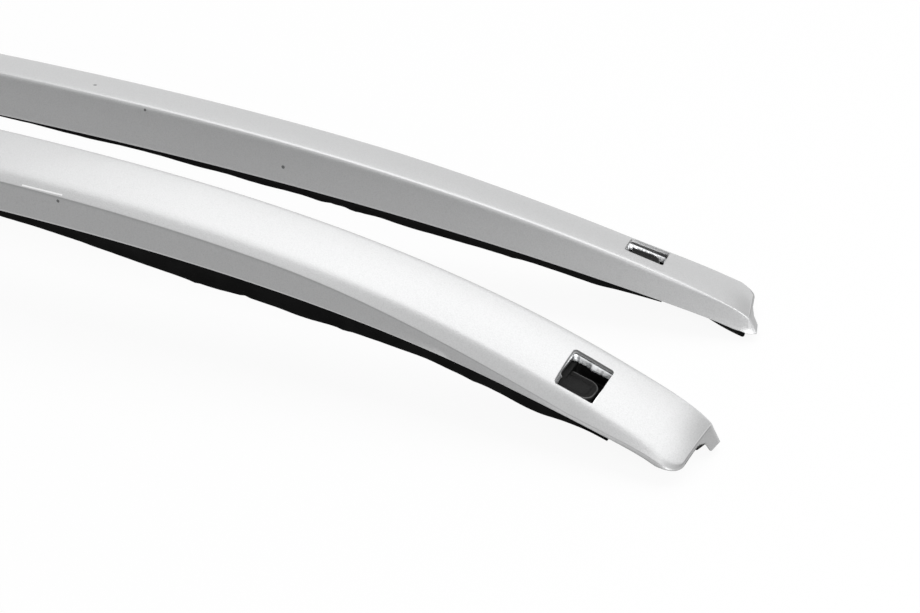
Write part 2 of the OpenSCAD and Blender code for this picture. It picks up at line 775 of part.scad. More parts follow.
right_hand() edge_seal(true);  // right_short_seal
left_hand() edge_seal(false);  // left_tall_seal
right_hand() edge_seal(false);  // right_tall_seal
left_hand() tip_pad(1);  // left_front_tip_pad
left_hand() tip_pad(-1);  // left_rear_tip_pad
right_hand() tip_pad(1);  // right_front_tip_pad
right_hand() tip_pad(-1);  // right_rear_tip_pad
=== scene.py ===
"""Pair of bowed silver roof side rails on a pale studio floor.

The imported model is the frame. The rails' skins, seals, anchor plates, anchor cups and tip
pads are finer surfaces over it, worked out in millimetres from the rail's own formulas.
A place on a rail is given by x along it, by a across its top from the crease towards the
short wall, and by a height; the right rail is the mirror image of the left one.
"""
import math

import bmesh
import bpy
import numpy as np
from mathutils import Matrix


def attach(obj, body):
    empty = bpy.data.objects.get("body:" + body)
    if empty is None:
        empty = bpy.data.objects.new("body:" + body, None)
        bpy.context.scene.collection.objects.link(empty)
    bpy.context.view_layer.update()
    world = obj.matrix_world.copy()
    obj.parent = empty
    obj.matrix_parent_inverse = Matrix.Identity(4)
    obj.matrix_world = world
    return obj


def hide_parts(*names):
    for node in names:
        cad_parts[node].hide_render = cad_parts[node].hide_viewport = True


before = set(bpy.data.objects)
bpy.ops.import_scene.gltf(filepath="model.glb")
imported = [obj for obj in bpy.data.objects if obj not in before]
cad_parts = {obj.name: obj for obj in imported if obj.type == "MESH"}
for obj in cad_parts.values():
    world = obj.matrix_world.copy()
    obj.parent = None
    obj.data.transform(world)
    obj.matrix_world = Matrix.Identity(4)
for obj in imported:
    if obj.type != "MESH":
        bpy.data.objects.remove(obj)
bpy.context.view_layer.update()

# Rail, in millimetres and degrees
HALF = 860.0
TOP_W, FLARE, TIP_FLARE, TIP_NARROW = 37.0, 3.0, 2.5, 1.3
MID_DEPTH, TIP_TAPER = 26.5, 16.0
MID_DROP, END_DROP, TIP_DROP, TIP_LEN = 5.0, 71.0, 3.0, 7.0
MID_BOW, END_BOW, PAIR_GAP = 8.0, 27.0, 63.0
MID_TILT, TIP_TILT = 8.5, 11.5
MID_CROWN, TIP_CROWN = 1.0, 1.8
MID_BAND, TIP_BAND = 5.5, 4.0
CHANGE_FROM, CHANGE_TO = 220.0, 80.0
EDGE_TILT, EDGE_EXTRA, LEAST_WALL = 12.5, 4.5, 2.0
WALL = 2.2
SHORT_DRAFT, TALL_DRAFT = 1.0, 2.0
CORNER_R, CREASE_R = 10.0, 0.8
SIDE_LIFT, RIM_LIFT = 2.5, 2.3
TIP_LIP, NOTCH_LIP, TAB_W, TAB_H, TIP_LEAN = 1.2, 3.6, 10.5, 8.7, 0.55
PAD_STAND = 1.8
CREST_Z = MID_DROP + END_DROP + TIP_DROP + MID_DEPTH - TIP_TAPER + PAD_STAND
STAGGER = 8.0
# Windows
WIN_X, WIN_LEN, WIN_W, WIN_IN = 801.5, 21.5, 23.5, 10.5
WIN_MID = WIN_IN + WIN_W / 2
WIN_ROUND = 1.7
HOLE_MARGIN = 1.0
# Anchor plates and cups
PLATE_T, PLATE_LEN, PLATE_W, PLATE_STEP, PLATE_FIT = 3.0, 42.0, 27.0, 0.6, 0.6
FIT = 0.3
CUP_WALL, CUP_RISE, CUP_FLANGE = 1.5, 0.6, 2.3
SEAT_LEN, SEAT_W, SEAT_H, SEAT_BACK, SEAT_ASIDE, SEAT_R = 27.0, 15.5, 4.0, 8.1, -0.9, 6.0
POST_W, POST_LEN = 8.0, 6.4
# Seals
SEAL_T, SEAL_GRIP, SHORT_END, TALL_END = 2.0, 5.0, 36.0, 46.0
# Tip pads
PAD_BACK_X, PAD_FRONT_X, PAD_NOSE = 826.0, 858.4, 1.6
PAD_IN, PAD_W, PAD_LEAN = 0.35, 12.2, 0.26
# Rows and columns of the shell's grid
LEAD_ROWS, WINDOW_ROWS, AFTER_ROWS, CORNER_ROWS = 112, 24, 6, 20
LEDGE_COLS, WINDOW_COLS, CREASE_COLS = 1, 22, 7
COLS = LEDGE_COLS + WINDOW_COLS + CREASE_COLS


def ease(v, start, end):
    """Smooth step: 3t^2 - 2t^3 of the share t of the way from start to end."""
    t = np.clip((v - start) / (end - start), 0, 1)
    return t * t * (3 - 2 * t)


def mixed(low, high, t):
    """Value a share t of the way from low to high."""
    return low + (high - low) * t


def share(x):
    """Distance from the middle as a share of the half length."""
    return np.abs(x) / HALF


def crease_z(x):
    """Crest less a square arch, a steeper power arch and a last drop that decays from the tip."""
    return (CREST_Z - MID_DROP * share(x) ** 2 - END_DROP * share(x) ** 4.8
            - TIP_DROP * np.exp((np.abs(x) - HALF) / TIP_LEN))


def crease_slope(x):
    """Derivative of the crease's height along x."""
    return -np.sign(x) * ((2 * MID_DROP * share(x) + 4.8 * END_DROP * share(x) ** 3.8) / HALF
                          + TIP_DROP / TIP_LEN * np.exp((np.abs(x) - HALF) / TIP_LEN))


def crease_y(x):
    """Plan line of the crease: it bows outwards at the middle and again at the ends."""
    return -PAIR_GAP / 2 + MID_BOW * share(x) ** 2 - END_BOW * share(x) ** 6


def heading(x):
    """Angle of the crease in plan."""
    return np.arctan(np.sign(x) * (2 * MID_BOW * share(x) - 6 * END_BOW * share(x) ** 5) / HALF)


def width(x):
    """Width across the top, which flares towards both ends and narrows a little at the tips."""
    return (TOP_W + FLARE * share(x) ** 2 + TIP_FLARE * share(x) ** 8
            - TIP_NARROW * ease(np.abs(x), HALF - 45, HALF - 8))


def depth(x):
    """Height of the tall wall, which tapers towards both ends."""
    return MID_DEPTH - TIP_TAPER * share(x) ** 5.4


def near_tip(x):
    """0 along the middle and 1 near the tips."""
    return ease(np.abs(x), HALF - CHANGE_FROM, HALF - CHANGE_TO)


def band(x):
    """Width of the shoulder band."""
    return mixed(MID_BAND, TIP_BAND, near_tip(x))


def top(x, a):
    """Height of the crowned top under the crease: a slope plus a parabola across to the bend,
    and a lift that grows with the square of the way across near the tips."""
    tilt = np.tan(np.radians(mixed(MID_TILT, TIP_TILT, near_tip(x))))
    crown = mixed(MID_CROWN, TIP_CROWN, near_tip(x))
    part = a / (width(x) - band(x))
    return -a * tilt + 4 * crown * part * (1 - part) + lift(x) * part ** 2


def lift(x):
    """Lift of the short side near the tips."""
    return SIDE_LIFT * ease(np.abs(x), HALF - 75, HALF - 4)


def edge_h(x):
    """Height of the edge between the shoulder band and the short wall."""
    return np.maximum(-width(x) * math.tan(math.radians(EDGE_TILT)) - EDGE_EXTRA * near_tip(x),
                      LEAST_WALL - depth(x)) + lift(x)


def short_rim(x):
    """Height of the short wall's rim, which rises near the tips, under the crease."""
    return RIM_LIFT * ease(np.abs(x), HALF - 85, HALF - 12) - depth(x)


def tall_rim(x):
    """Height of the tall wall's rim, which rises to the tab's end, under the crease."""
    return (depth(HALF) - TAB_H) * ease(np.abs(x), HALF - 9, HALF) - depth(x)


def surface_z(x, a):
    """Height of the top over the floor."""
    return crease_z(x) + top(x, a)


def in_space(x, a, z):
    """Points in the rail's own frame from x, a and a height over the floor."""
    x, a, z = np.broadcast_arrays(x, a, z)
    turn = heading(x)
    return np.stack([x + a * np.sin(turn), crease_y(x) - a * np.cos(turn), z], axis=-1)


def handed(points, side):
    """Points of the pair in metres: the left rail steps forward, the right one is mirrored."""
    points = np.array(points, dtype=float).reshape(-1, 3)
    if side == "left":
        return (points + [STAGGER / 2, 0, 0]) / 1000
    return (points * [1, -1, 1] - [STAGGER / 2, 0, 0]) / 1000


def wander(x, scale, seed):
    """Uneven line between about -1 and 1: five sine waves with unrelated lengths and phases."""
    waves = np.array([1.0, 1.73, 2.91, 4.37, 7.13])
    sizes = np.array([0.38, 0.26, 0.18, 0.11, 0.07])
    phases = seed * np.array([1.3, 2.1, 3.7, 0.9, 5.3])
    return np.sum(sizes * np.sin(np.asarray(x)[..., None] / scale * waves + phases), axis=-1)


def grid_quads(index, closed_rows=False, closed_cols=False):
    """Four-sided faces between the neighbours of a table of point numbers."""
    if closed_rows:
        index = np.concatenate([index, index[:1]], axis=0)
    if closed_cols:
        index = np.concatenate([index, index[:, :1]], axis=1)
    return np.stack([index[:-1, :-1], index[1:, :-1], index[1:, 1:], index[:-1, 1:]],
                    axis=-1).reshape(-1, 4)


def fan(ring, middle):
    """Triangles from each side of a closed ring of point numbers to a middle point."""
    return np.stack([ring, np.roll(ring, -1), np.full_like(ring, middle)], axis=-1)


def smooth_solid(name, points, face_sets, side, slot, node=None, sharp=40, painted_shade=None, painted_light=None):
    """Closed mesh of the given points and faces, with its faces turned outwards.

    Painted shade and painted light are shares between 0 and 1 at each point, which the materials read.
    """
    mesh = bpy.data.meshes.new(name)
    faces = [face for faces in face_sets for face in faces.tolist()]
    mesh.from_pydata(handed(points, side).tolist(), [], faces)
    work = bmesh.new()
    work.from_mesh(mesh)
    bmesh.ops.recalc_face_normals(work, faces=work.faces)
    work.to_mesh(mesh)
    work.free()
    mesh.shade_smooth()
    mesh.set_sharp_from_angle(angle=math.radians(sharp))
    for key, shares in (("painted_shade", painted_shade), ("painted_light", painted_light)):
        layer = mesh.attributes.new(key, "FLOAT", "POINT")
        layer.data.foreach_set("value", np.zeros(len(points)) if shares is None else shares)
    piece = bpy.data.objects.new(name, mesh)
    bpy.context.scene.collection.objects.link(piece)
    mesh.materials.append(FINISHES[slot])
    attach(piece, "root")
    if node:
        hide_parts(node)
    return piece


# Materials


class Wire:
    """Output of a node, on which plain arithmetic adds Math nodes."""

    def __init__(self, finish, socket):
        self.finish = finish
        self.socket = socket

    def _math(self, operation, first, second, clamp=False):
        return self.finish.add("ShaderNodeMath", {"operation": operation, "use_clamp": clamp},
                               {0: first, 1: second})

    def __add__(self, other):
        return self._math("ADD", self, other)

    def __radd__(self, other):
        return self._math("ADD", other, self)

    def __sub__(self, other):
        return self._math("SUBTRACT", self, other)

    def __rsub__(self, other):
        return self._math("SUBTRACT", other, self)

    def __mul__(self, other):
        return self._math("MULTIPLY", self, other)

    def __rmul__(self, other):
        return self._math("MULTIPLY", other, self)

    def __truediv__(self, other):
        return self._math("DIVIDE", self, other)

    def __rtruediv__(self, other):
        return self._math("DIVIDE", other, self)

    def below(self, other):
        return self._math("LESS_THAN", self, other)

    def above(self, other):
        return self._math("GREATER_THAN", self, other)

    def held(self):
        return self._math("ADD", self, 0.0, clamp=True)

    def bound(self, low, high):
        """0 at low, 1 at high and straight between them."""
        return ((self - low) / (high - low)).held()


class Finish:
    """Material made of nodes around one Principled shader."""

    def __init__(self, name, **constants):
        self.material = bpy.data.materials.new(name)
        self.material.use_nodes = True
        self.tree = self.material.node_tree
        self.shader = self.tree.nodes["Principled BSDF"]
        for socket, value in constants.items():
            self.shader.inputs[socket.replace("_", " ")].default_value = value
        self.place = None

    def add(self, kind, settings=None, sockets=None, out=0):
        """Add a node: its settings first, then the values or links of its sockets."""
        node = self.tree.nodes.new(kind)
        for key, value in (settings or {}).items():
            setattr(node, key, value)
        for key, value in (sockets or {}).items():
            self.feed(node.inputs[key], value)
        return Wire(self, node.outputs[out])

    def feed(self, socket, value):
        """Link a wire to a socket, or set the socket's value."""
        if isinstance(value, Wire):
            self.tree.links.new(value.socket, socket)
        elif socket.type == "RGBA":
            socket.default_value = (*value, 1)[:4]
        else:
            socket.default_value = value

    def set(self, **wires):
        for socket, wire in wires.items():
            self.feed(self.shader.inputs[socket.replace("_", " ")], wire)

    def where(self):
        """Object coordinates in metres."""
        if self.place is None:
            self.place = self.add("ShaderNodeTexCoord", out=3)
        return self.place

    def along(self, axis):
        """One of the object coordinates."""
        return self.add("ShaderNodeSeparateXYZ", None, {0: self.where()}, out=axis)

    def cloud(self, scale, detail=2.0, rough=0.5, stretch=None):
        """Noise between 0 and 1 with so many lumps to the metre."""
        place = self.where()
        if stretch:
            place = self.add("ShaderNodeMapping", None, {"Vector": place, "Scale": stretch})
        return self.add("ShaderNodeTexNoise", None,
                        {"Vector": place, "Scale": scale, "Detail": detail, "Roughness": rough})

    def cells(self, scale, feature="F1", out=0):
        """Distance to the nearest of many scattered points, or another output."""
        return self.add("ShaderNodeTexVoronoi", {"feature": feature},
                        {"Vector": self.where(), "Scale": scale}, out=out)

    def distance(self, place):
        """Distance from a place, in metres."""
        return self.add("ShaderNodeVectorMath", {"operation": "DISTANCE"},
                        {0: self.where(), 1: place}, out=1)

    def share(self, name):
        """Share between 0 and 1 that a piece keeps at each of its points."""
        return self.add("ShaderNodeAttribute", {"attribute_name": name}, out=2)

    def blend(self, factor, low, high):
        """Colour a share of the way from low to high."""
        return self.add("ShaderNodeMix", {"data_type": "RGBA"},
                        {0: factor, 6: low, 7: high}, out=2)

    def bump(self, height, strength, distance):
        return self.add("ShaderNodeBump", None,
                        {"Height": height, "Strength": strength, "Distance": distance})


# Dark specks in the paint: place and reach in metres
PAINT_SPOTS = (
    ((0.4712, 0.0418, 0.0848), 0.0011), ((0.5106, 0.0298, 0.0812), 0.0008),
    ((0.5958, 0.0296, 0.0619), 0.0010), ((0.5161, -0.0681, 0.0725), 0.0009),
)
# Painted glint on the left rail's shoulder edge, drawn as a pale grey line: both ends along and up, and
# its half width, in metres
GLINT_LINE = ((0.4941, 0.0770), (0.5182, 0.0758))
GLINT_R = 0.00025


def silver_paint():
    """Metallic paint: flakes, a fine grain, faint clouds and dark specks, with painted shade, a painted
    glint and painted highlights where the pieces give them.
    """
    f = Finish("silver_paint", Roughness=0.4, Metallic=0.55, Coat_Weight=0.25, Coat_Roughness=0.12)
    grain = f.cloud(1500, 3, 0.7)
    flakes = f.cells(1300)
    clouds = f.cloud(14, 3, 0.5)
    level = 0.71 + 0.38 * grain + 0.08 * (1 - flakes) + 0.03 * clouds
    speck = f.cells(28).below(0.012) * f.cloud(9).above(0.5)
    for place, reach in PAINT_SPOTS:
        speck = speck + f.distance(place).below(reach)
    # Painted shade from the pieces' points darkens the paint
    painted_shade = f.share("painted_shade")
    tone = (level.held() * (1 - 0.7 * speck.held()) * (1 - 0.72 * painted_shade)).held()
    # A painted glint along the shoulder's edge, and the pieces' painted light, turn the paint towards a
    # pale unpainted grey
    x, z = f.along(0), f.along(2)
    (x0, z0), (x1, z1) = GLINT_LINE
    off = z - (z0 + (x - x0) * ((z1 - z0) / (x1 - x0)))
    glint = (off * off).below(GLINT_R ** 2) * x.above(x0) * x.below(x1) * f.along(1).below(-0.065)
    painted_bright = (glint + f.share("painted_light")).held()
    paint = f.blend(tone, (0.0, 0.0, 0.0), (0.51, 0.512, 0.515))
    f.set(Base_Color=f.blend(painted_bright, paint, (0.82, 0.82, 0.82)),
          Roughness=0.36 + 0.12 * grain + 0.2 * painted_shade,
          Metallic=(0.55 - 0.35 * painted_shade - 0.45 * painted_bright).held(),
          Normal=f.bump(grain + 0.6 * flakes, 0.25, 0.0002))
    return f.material


def galvanised_steel():
    """Zinc coated sheet: spangle patches of differing grey, streaks and small bright nicks, with
    painted shade and a painted highlight where the plate gives them.
    """
    f = Finish("galvanised_steel", Metallic=0.95, Roughness=0.3)
    patches = f.cells(420, out=1)
    patch = f.add("ShaderNodeSeparateColor", None, {0: patches}, out=0)
    streaks = f.cloud(300, 3, 0.6, (1, 5, 5))
    chips = f.cloud(900, 2, 0.6)
    painted_shade = f.share("painted_shade")
    painted_light = f.share("painted_light")
    tone = (0.45 + 0.2 * patch * (1 - painted_light) + 0.25 * streaks + 0.3 * chips.bound(0.5, 0.7)).held()
    # Painted shade darkens the tone and a painted highlight lightens it
    tone = (tone * (1 - 0.95 * painted_shade) + 0.5 * painted_light).held()
    f.set(Base_Color=f.blend(tone, (0.2, 0.2, 0.21), (0.86, 0.87, 0.88)),
          Roughness=0.25 + 0.3 * streaks,
          Normal=f.bump(streaks + chips, 0.35, 0.0003))
    return f.material


def screw_steel():
    """Plated steel: fine turned marks, a slight tarnish and soft blotches."""
    f = Finish("screw_steel", Metallic=1.0, Roughness=0.35)
    marks = f.cloud(2200, 2, 0.5, (1, 1, 6))
    tarnish = f.cloud(160, 4, 0.6)
    tone = (0.35 + 0.4 * marks + 0.4 * tarnish.bound(0.35, 0.7)).held()
    f.set(Base_Color=f.blend(tone, (0.18, 0.18, 0.19), (0.62, 0.62, 0.63)),
          Roughness=0.28 + 0.2 * tarnish,
          Normal=f.bump(marks, 0.2, 0.0002))
    return f.material


def black_plastic():
    """Moulded plastic: eroded grain, faint flow marks, dusty high places and a painted highlight where
    a piece gives it.
    """
    f = Finish("black_plastic", Roughness=0.5, Specular_IOR_Level=0.12)
    grain = f.cells(1700)
    flow = f.cloud(90, 4, 0.55, (1, 3, 3))
    dust_and_shade = f.cloud(400, 4, 0.65).bound(0.5, 0.75)
    # Painted highlight, streaked by the flow marks
    plastic_highlight = (f.share("painted_light") * (0.4 + flow)).held()
    plain = f.blend((0.25 * flow + 0.5 * dust_and_shade).held(), (0.002, 0.002, 0.002), (0.01, 0.01, 0.01))
    f.set(Base_Color=f.blend(plastic_highlight, plain, (0.17, 0.17, 0.17)),
          Roughness=0.42 + 0.2 * flow,
          Normal=f.bump(grain, 0.3, 0.0002))
    return f.material


def seal_rubber():
    """Extruded rubber: lines along the strip, a fine pitted grain and a grey bloom."""
    f = Finish("seal_rubber", Roughness=0.62, Specular_IOR_Level=0.06)
    lines = f.cloud(700, 2, 0.5, (0.04, 1, 1))
    pits = f.cells(2400)
    bloom = f.cloud(60, 5, 0.6).bound(0.45, 0.75)
    f.set(Base_Color=f.blend((0.3 * lines + 0.45 * bloom).held(), (0.0015, 0.0015, 0.0015),
                             (0.009, 0.009, 0.009)),
          Roughness=0.55 + 0.2 * lines,
          Normal=f.bump(lines + 0.4 * pits, 0.3, 0.0003))
    return f.material


FINISHES = {
    "silver_paint": silver_paint(),
    "galvanised_steel": galvanised_steel(),
    "screw_steel": screw_steel(),
    "black_plastic": black_plastic(),
    "seal_rubber": seal_rubber(),
}


# Shell


def half_stations():
    """Places from the middle to one tip, as x with the angle round the tip's corner.

    Even steps lead to the window, whose rows crowd towards its two ends as a cosine does,
    a few steps lead on to the corner, and the corner is stepped by its angle.
    """
    hole = WIN_LEN / 2 + HOLE_MARGIN
    crowd = -np.cos(np.linspace(0, np.pi, WINDOW_ROWS + 1)) * hole + WIN_X
    lead = np.linspace(0, WIN_X - hole, LEAD_ROWS + 1)[:-1]
    after = np.linspace(WIN_X + hole, HALF - CORNER_R, AFTER_ROWS + 1)[1:]
    angles = np.linspace(0, np.pi / 2, CORNER_ROWS + 1)[1:]
    x = np.concatenate([lead, crowd, after, np.full(CORNER_ROWS, HALF - CORNER_R)])
    t = np.concatenate([np.zeros(len(x) - CORNER_ROWS), angles])
    return x, t


HALF_X, HALF_T = half_stations()
STATION_X = np.concatenate([-HALF_X[:0:-1], HALF_X])
STATION_T = np.concatenate([-HALF_T[:0:-1], HALF_T])
ROWS = len(STATION_X)
# Share of the corner's rows after which the small corner at the crease starts to turn
CREASE_TURN_FROM = 0.55
LEAST_R = 0.3


def short_side(inset):
    """Plan line along the short side and round both tip corners, moved in by an inset.

    The corner is a quarter circle whose radius shrinks by the inset.
    """
    sign = np.sign(STATION_T)
    t = np.abs(STATION_T)
    r = np.maximum(CORNER_R - inset, LEAST_R)
    x = np.where(t > 0, sign * (HALF - inset - r * (1 - np.sin(t))), STATION_X)
    return x, width(x) - inset - np.where(t > 0, r * (1 - np.cos(t)), 0)


def crease_side(inset):
    """Plan line along the crease, moved in by an inset, with a small round corner at each tip."""
    sign = np.sign(STATION_T)
    part = np.abs(STATION_T) / (np.pi / 2)
    r = np.maximum(CREASE_R - inset, LEAST_R)
    start = HALF - CORNER_R
    end = HALF - inset - r
    straight = start + (end - start) * np.minimum(part / CREASE_TURN_FROM, 1)
    t = np.clip((part - CREASE_TURN_FROM) / (1 - CREASE_TURN_FROM), 0, 1) * np.pi / 2
    x = np.where(part > 0, sign * (straight + r * np.sin(t)), STATION_X)
    return x, inset + np.where(part > 0, r * (1 - np.cos(t)), 0)


def tip_line(sign, inset, short_end, crease_end, across):
    """Straight plan line of a tip between the ends of both side lines, without those ends."""
    a = mixed(short_end, crease_end, across)
    return sign * (HALF - inset), a


def loop(inset):
    """Closed plan line round the rail: short side, front tip, crease side and rear tip.

    The inset is one value or one for each point of the loop.
    """
    inset = np.broadcast_to(inset, (LOOP_N,))
    sx, sa = short_side(inset[:ROWS])
    cx, ca = crease_side(inset[CREASE_RUN][::-1])
    fx, fa = tip_line(1, inset[FRONT_RUN], sa[-1], ca[-1], ACROSS)
    rx, ra = tip_line(-1, inset[REAR_RUN], sa[0], ca[0], ACROSS[::-1])
    return (np.concatenate([sx, fx, cx[::-1], rx]), np.concatenate([sa, fa, ca[::-1], ra]))


LOOP_N = 2 * ROWS + 2 * (COLS - 1)
FRONT_RUN = slice(ROWS, ROWS + COLS - 1)
CREASE_RUN = slice(ROWS + COLS - 1, 2 * ROWS + COLS - 1)
REAR_RUN = slice(2 * ROWS + COLS - 1, LOOP_N)


def crowded(n):
    """Shares from 0 to 1 in n steps that crowd towards both ends as a cosine does."""
    return (1 - np.cos(np.linspace(0, np.pi, n + 1))) / 2


def column_places(short_a, crease_a):
    """Places of the columns across the top: a ledge, the window's width and the crease's side."""
    low = np.minimum(WIN_IN - HOLE_MARGIN, mixed(crease_a, short_a, 0.35))
    high = np.minimum(WIN_IN + WIN_W + HOLE_MARGIN, short_a - 0.3)
    ledge = mixed(short_a[..., None], high[..., None], np.linspace(0, 1, LEDGE_COLS + 1)[:-1])
    window = mixed(high[..., None], low[..., None], crowded(WINDOW_COLS)[:-1])
    rest = mixed(low[..., None], crease_a[..., None], np.linspace(0, 1, CREASE_COLS + 1))
    return np.concatenate([ledge, window, rest], axis=-1)


# Shares across the tip line of the columns between its two ends
TIP_SHORT_A = float(width(HALF)) - CORNER_R
tip_columns = column_places(np.array(TIP_SHORT_A), np.array(CREASE_R))
ACROSS = ((TIP_SHORT_A - tip_columns) / (TIP_SHORT_A - CREASE_R))[1:-1]


def loop_shares():
    """How far each point of the loop belongs to the short side, to a tip and to the crease."""
    turn = np.abs(STATION_T) / (np.pi / 2)
    small_turn = np.clip((turn - CREASE_TURN_FROM) / (1 - CREASE_TURN_FROM), 0, 1)
    tips = np.ones(COLS - 1)
    tip = np.concatenate([turn, tips, small_turn[::-1], tips])
    short = np.concatenate([1 - turn, 0 * tips, 0 * small_turn, 0 * tips])
    crease = np.concatenate([0 * turn, 0 * tips, 1 - small_turn[::-1], 0 * tips])
    return short, tip, crease


SHORT, TIP, CREASE = loop_shares()


def bezier(first, corner, last, n):
    """Quadratic curve from first to last that a corner pulls: n + 1 rows of points."""
    t = np.linspace(0, 1, n + 1)[:, None, None]
    return first * (1 - t) ** 2 + corner * 2 * t * (1 - t) + last * t ** 2


def toward(point, other, distance, most=0.45):
    """Point that lies a distance from one point towards another, at most a share of the way."""
    gap = np.linalg.norm(other - point, axis=-1, keepdims=True)
    return point + (other - point) * np.minimum(np.asarray(distance)[..., None] / gap, most)


def thinned(x):
    """Share of the skin's thickness that is left: the skin thins out at the very tips."""
    return 1 - 0.55 * ease(np.abs(x), HALF - 16, HALF - 1)


def skirt(skin):
    """Rings of inset and height from the border of the top down to the rim, for one skin.

    At each point of the loop the profile has three corners: the bend at the end of the top,
    the edge at the end of the band and the rim. The first two are rounded by quadratic curves.
    At a tip and along the crease the band is so short that both curves make one round edge,
    which is wide along the rail and crisp at the tips.
    """
    x0, a0 = loop(0.0)
    skin = skin * thinned(x0)
    top0 = surface_z(x0, a0)
    crisp = ease(np.abs(x0), HALF - 50, HALF - 8)
    band_w = SHORT * band(x0) + TIP * 0.3 + CREASE * mixed(1.2, 0.3, crisp)
    soft = SHORT * mixed(3.0, 2.4, near_tip(x0)) + TIP * 0.4 + CREASE * mixed(2.2, 0.5, crisp)
    edge_z = (SHORT * (crease_z(x0) + edge_h(x0)) + TIP * (top0 - 0.3)
              + CREASE * (top0 - mixed(1.2, 0.3, crisp)))
    edge_soft = SHORT * 0.4 + TIP * 0.3 + CREASE * mixed(2.2, 0.5, crisp)
    tab = 1 - ease(a0, TAB_W - 0.4, TAB_W + 0.4)
    lip = mixed(NOTCH_LIP, TIP_LIP, ease(a0, TAB_W, TAB_W + 7.5))
    tip_rim = mixed(top0 - lip, crease_z(x0) - TAB_H, tab)
    wall = SHORT ** 2
    rim_z = (wall * (crease_z(x0) + short_rim(x0)) + (TIP + SHORT - wall) * tip_rim
             + CREASE * (crease_z(x0) + tall_rim(x0)))
    draft = SHORT * SHORT_DRAFT + CREASE * TALL_DRAFT
    bend_in = band_w + mixed(1.05, 0.45, SHORT) * skin
    bx, ba = loop(bend_in)
    start_in = bend_in + soft * (1 - 0.25 * skin / WALL)
    sx, sa = loop(start_in)
    start = np.stack([start_in, surface_z(sx, sa) - skin], axis=-1)
    bend = np.stack([bend_in, surface_z(bx, ba) - skin], axis=-1)
    edge = np.stack([skin + 0 * edge_z, edge_z - (0.5 + 0.55 * CREASE) * skin], axis=-1)
    rim = np.stack([skin - draft, rim_z], axis=-1)
    return start, bend, edge, rim, soft, edge_soft


def ring_points(profile):
    """Points in space of the profile's rings, with the tips' faces leaning forward."""
    insets, heights = profile[..., 0], profile[..., 1]
    x0, a0 = loop(0.0)
    top0 = surface_z(x0, a0)
    lean = np.sign(x0) * TIP_LEAN * TIP
    rings = []
    for inset, z in zip(insets, heights):
        x, a = loop(inset)
        points = in_space(x, a, z)
        points[:, 0] += lean * np.maximum(top0 - z, 0)
        rings.append(points)
    return np.array(rings)


def top_grid(start_in, skin):
    """Points of the top: straight rows between both side lines, with heights from the formula."""
    sx, sa = short_side(start_in[:ROWS])
    cx, ca = crease_side(start_in[CREASE_RUN][::-1])
    a = column_places(sa, ca)
    part = (sa[:, None] - a) / (sa - ca)[:, None]
    x = mixed(sx[:, None], cx[:, None], part)
    return x, a, surface_z(x, a) - skin * thinned(x)


def window_ring(first_row):
    """Places in the grid round a window's hole, as rows and columns in turn."""
    r0, r1 = first_row, first_row + WINDOW_ROWS
    c0, c1 = LEDGE_COLS, LEDGE_COLS + WINDOW_COLS
    rows = np.concatenate([np.arange(r0, r1), np.full(c1 - c0, r1),
                           np.arange(r1, r0, -1), np.full(c1 - c0, r0)])
    cols = np.concatenate([np.full(r1 - r0, c0), np.arange(c0, c1),
                           np.full(r1 - r0, c1), np.arange(c1, c0, -1)])
    return rows, cols


def rounded(dx, dy, half_x, half_y, r):
    """Nearest points of a rectangle with round corners: each place is held inside the core
    rectangle, and the outline lies one radius further on towards the place itself."""
    qx = np.clip(dx, -(half_x - r), half_x - r)
    qy = np.clip(dy, -(half_y - r), half_y - r)
    gap = np.hypot(dx - qx, dy - qy)
    return qx + r * (dx - qx) / gap, qy + r * (dy - qy) / gap


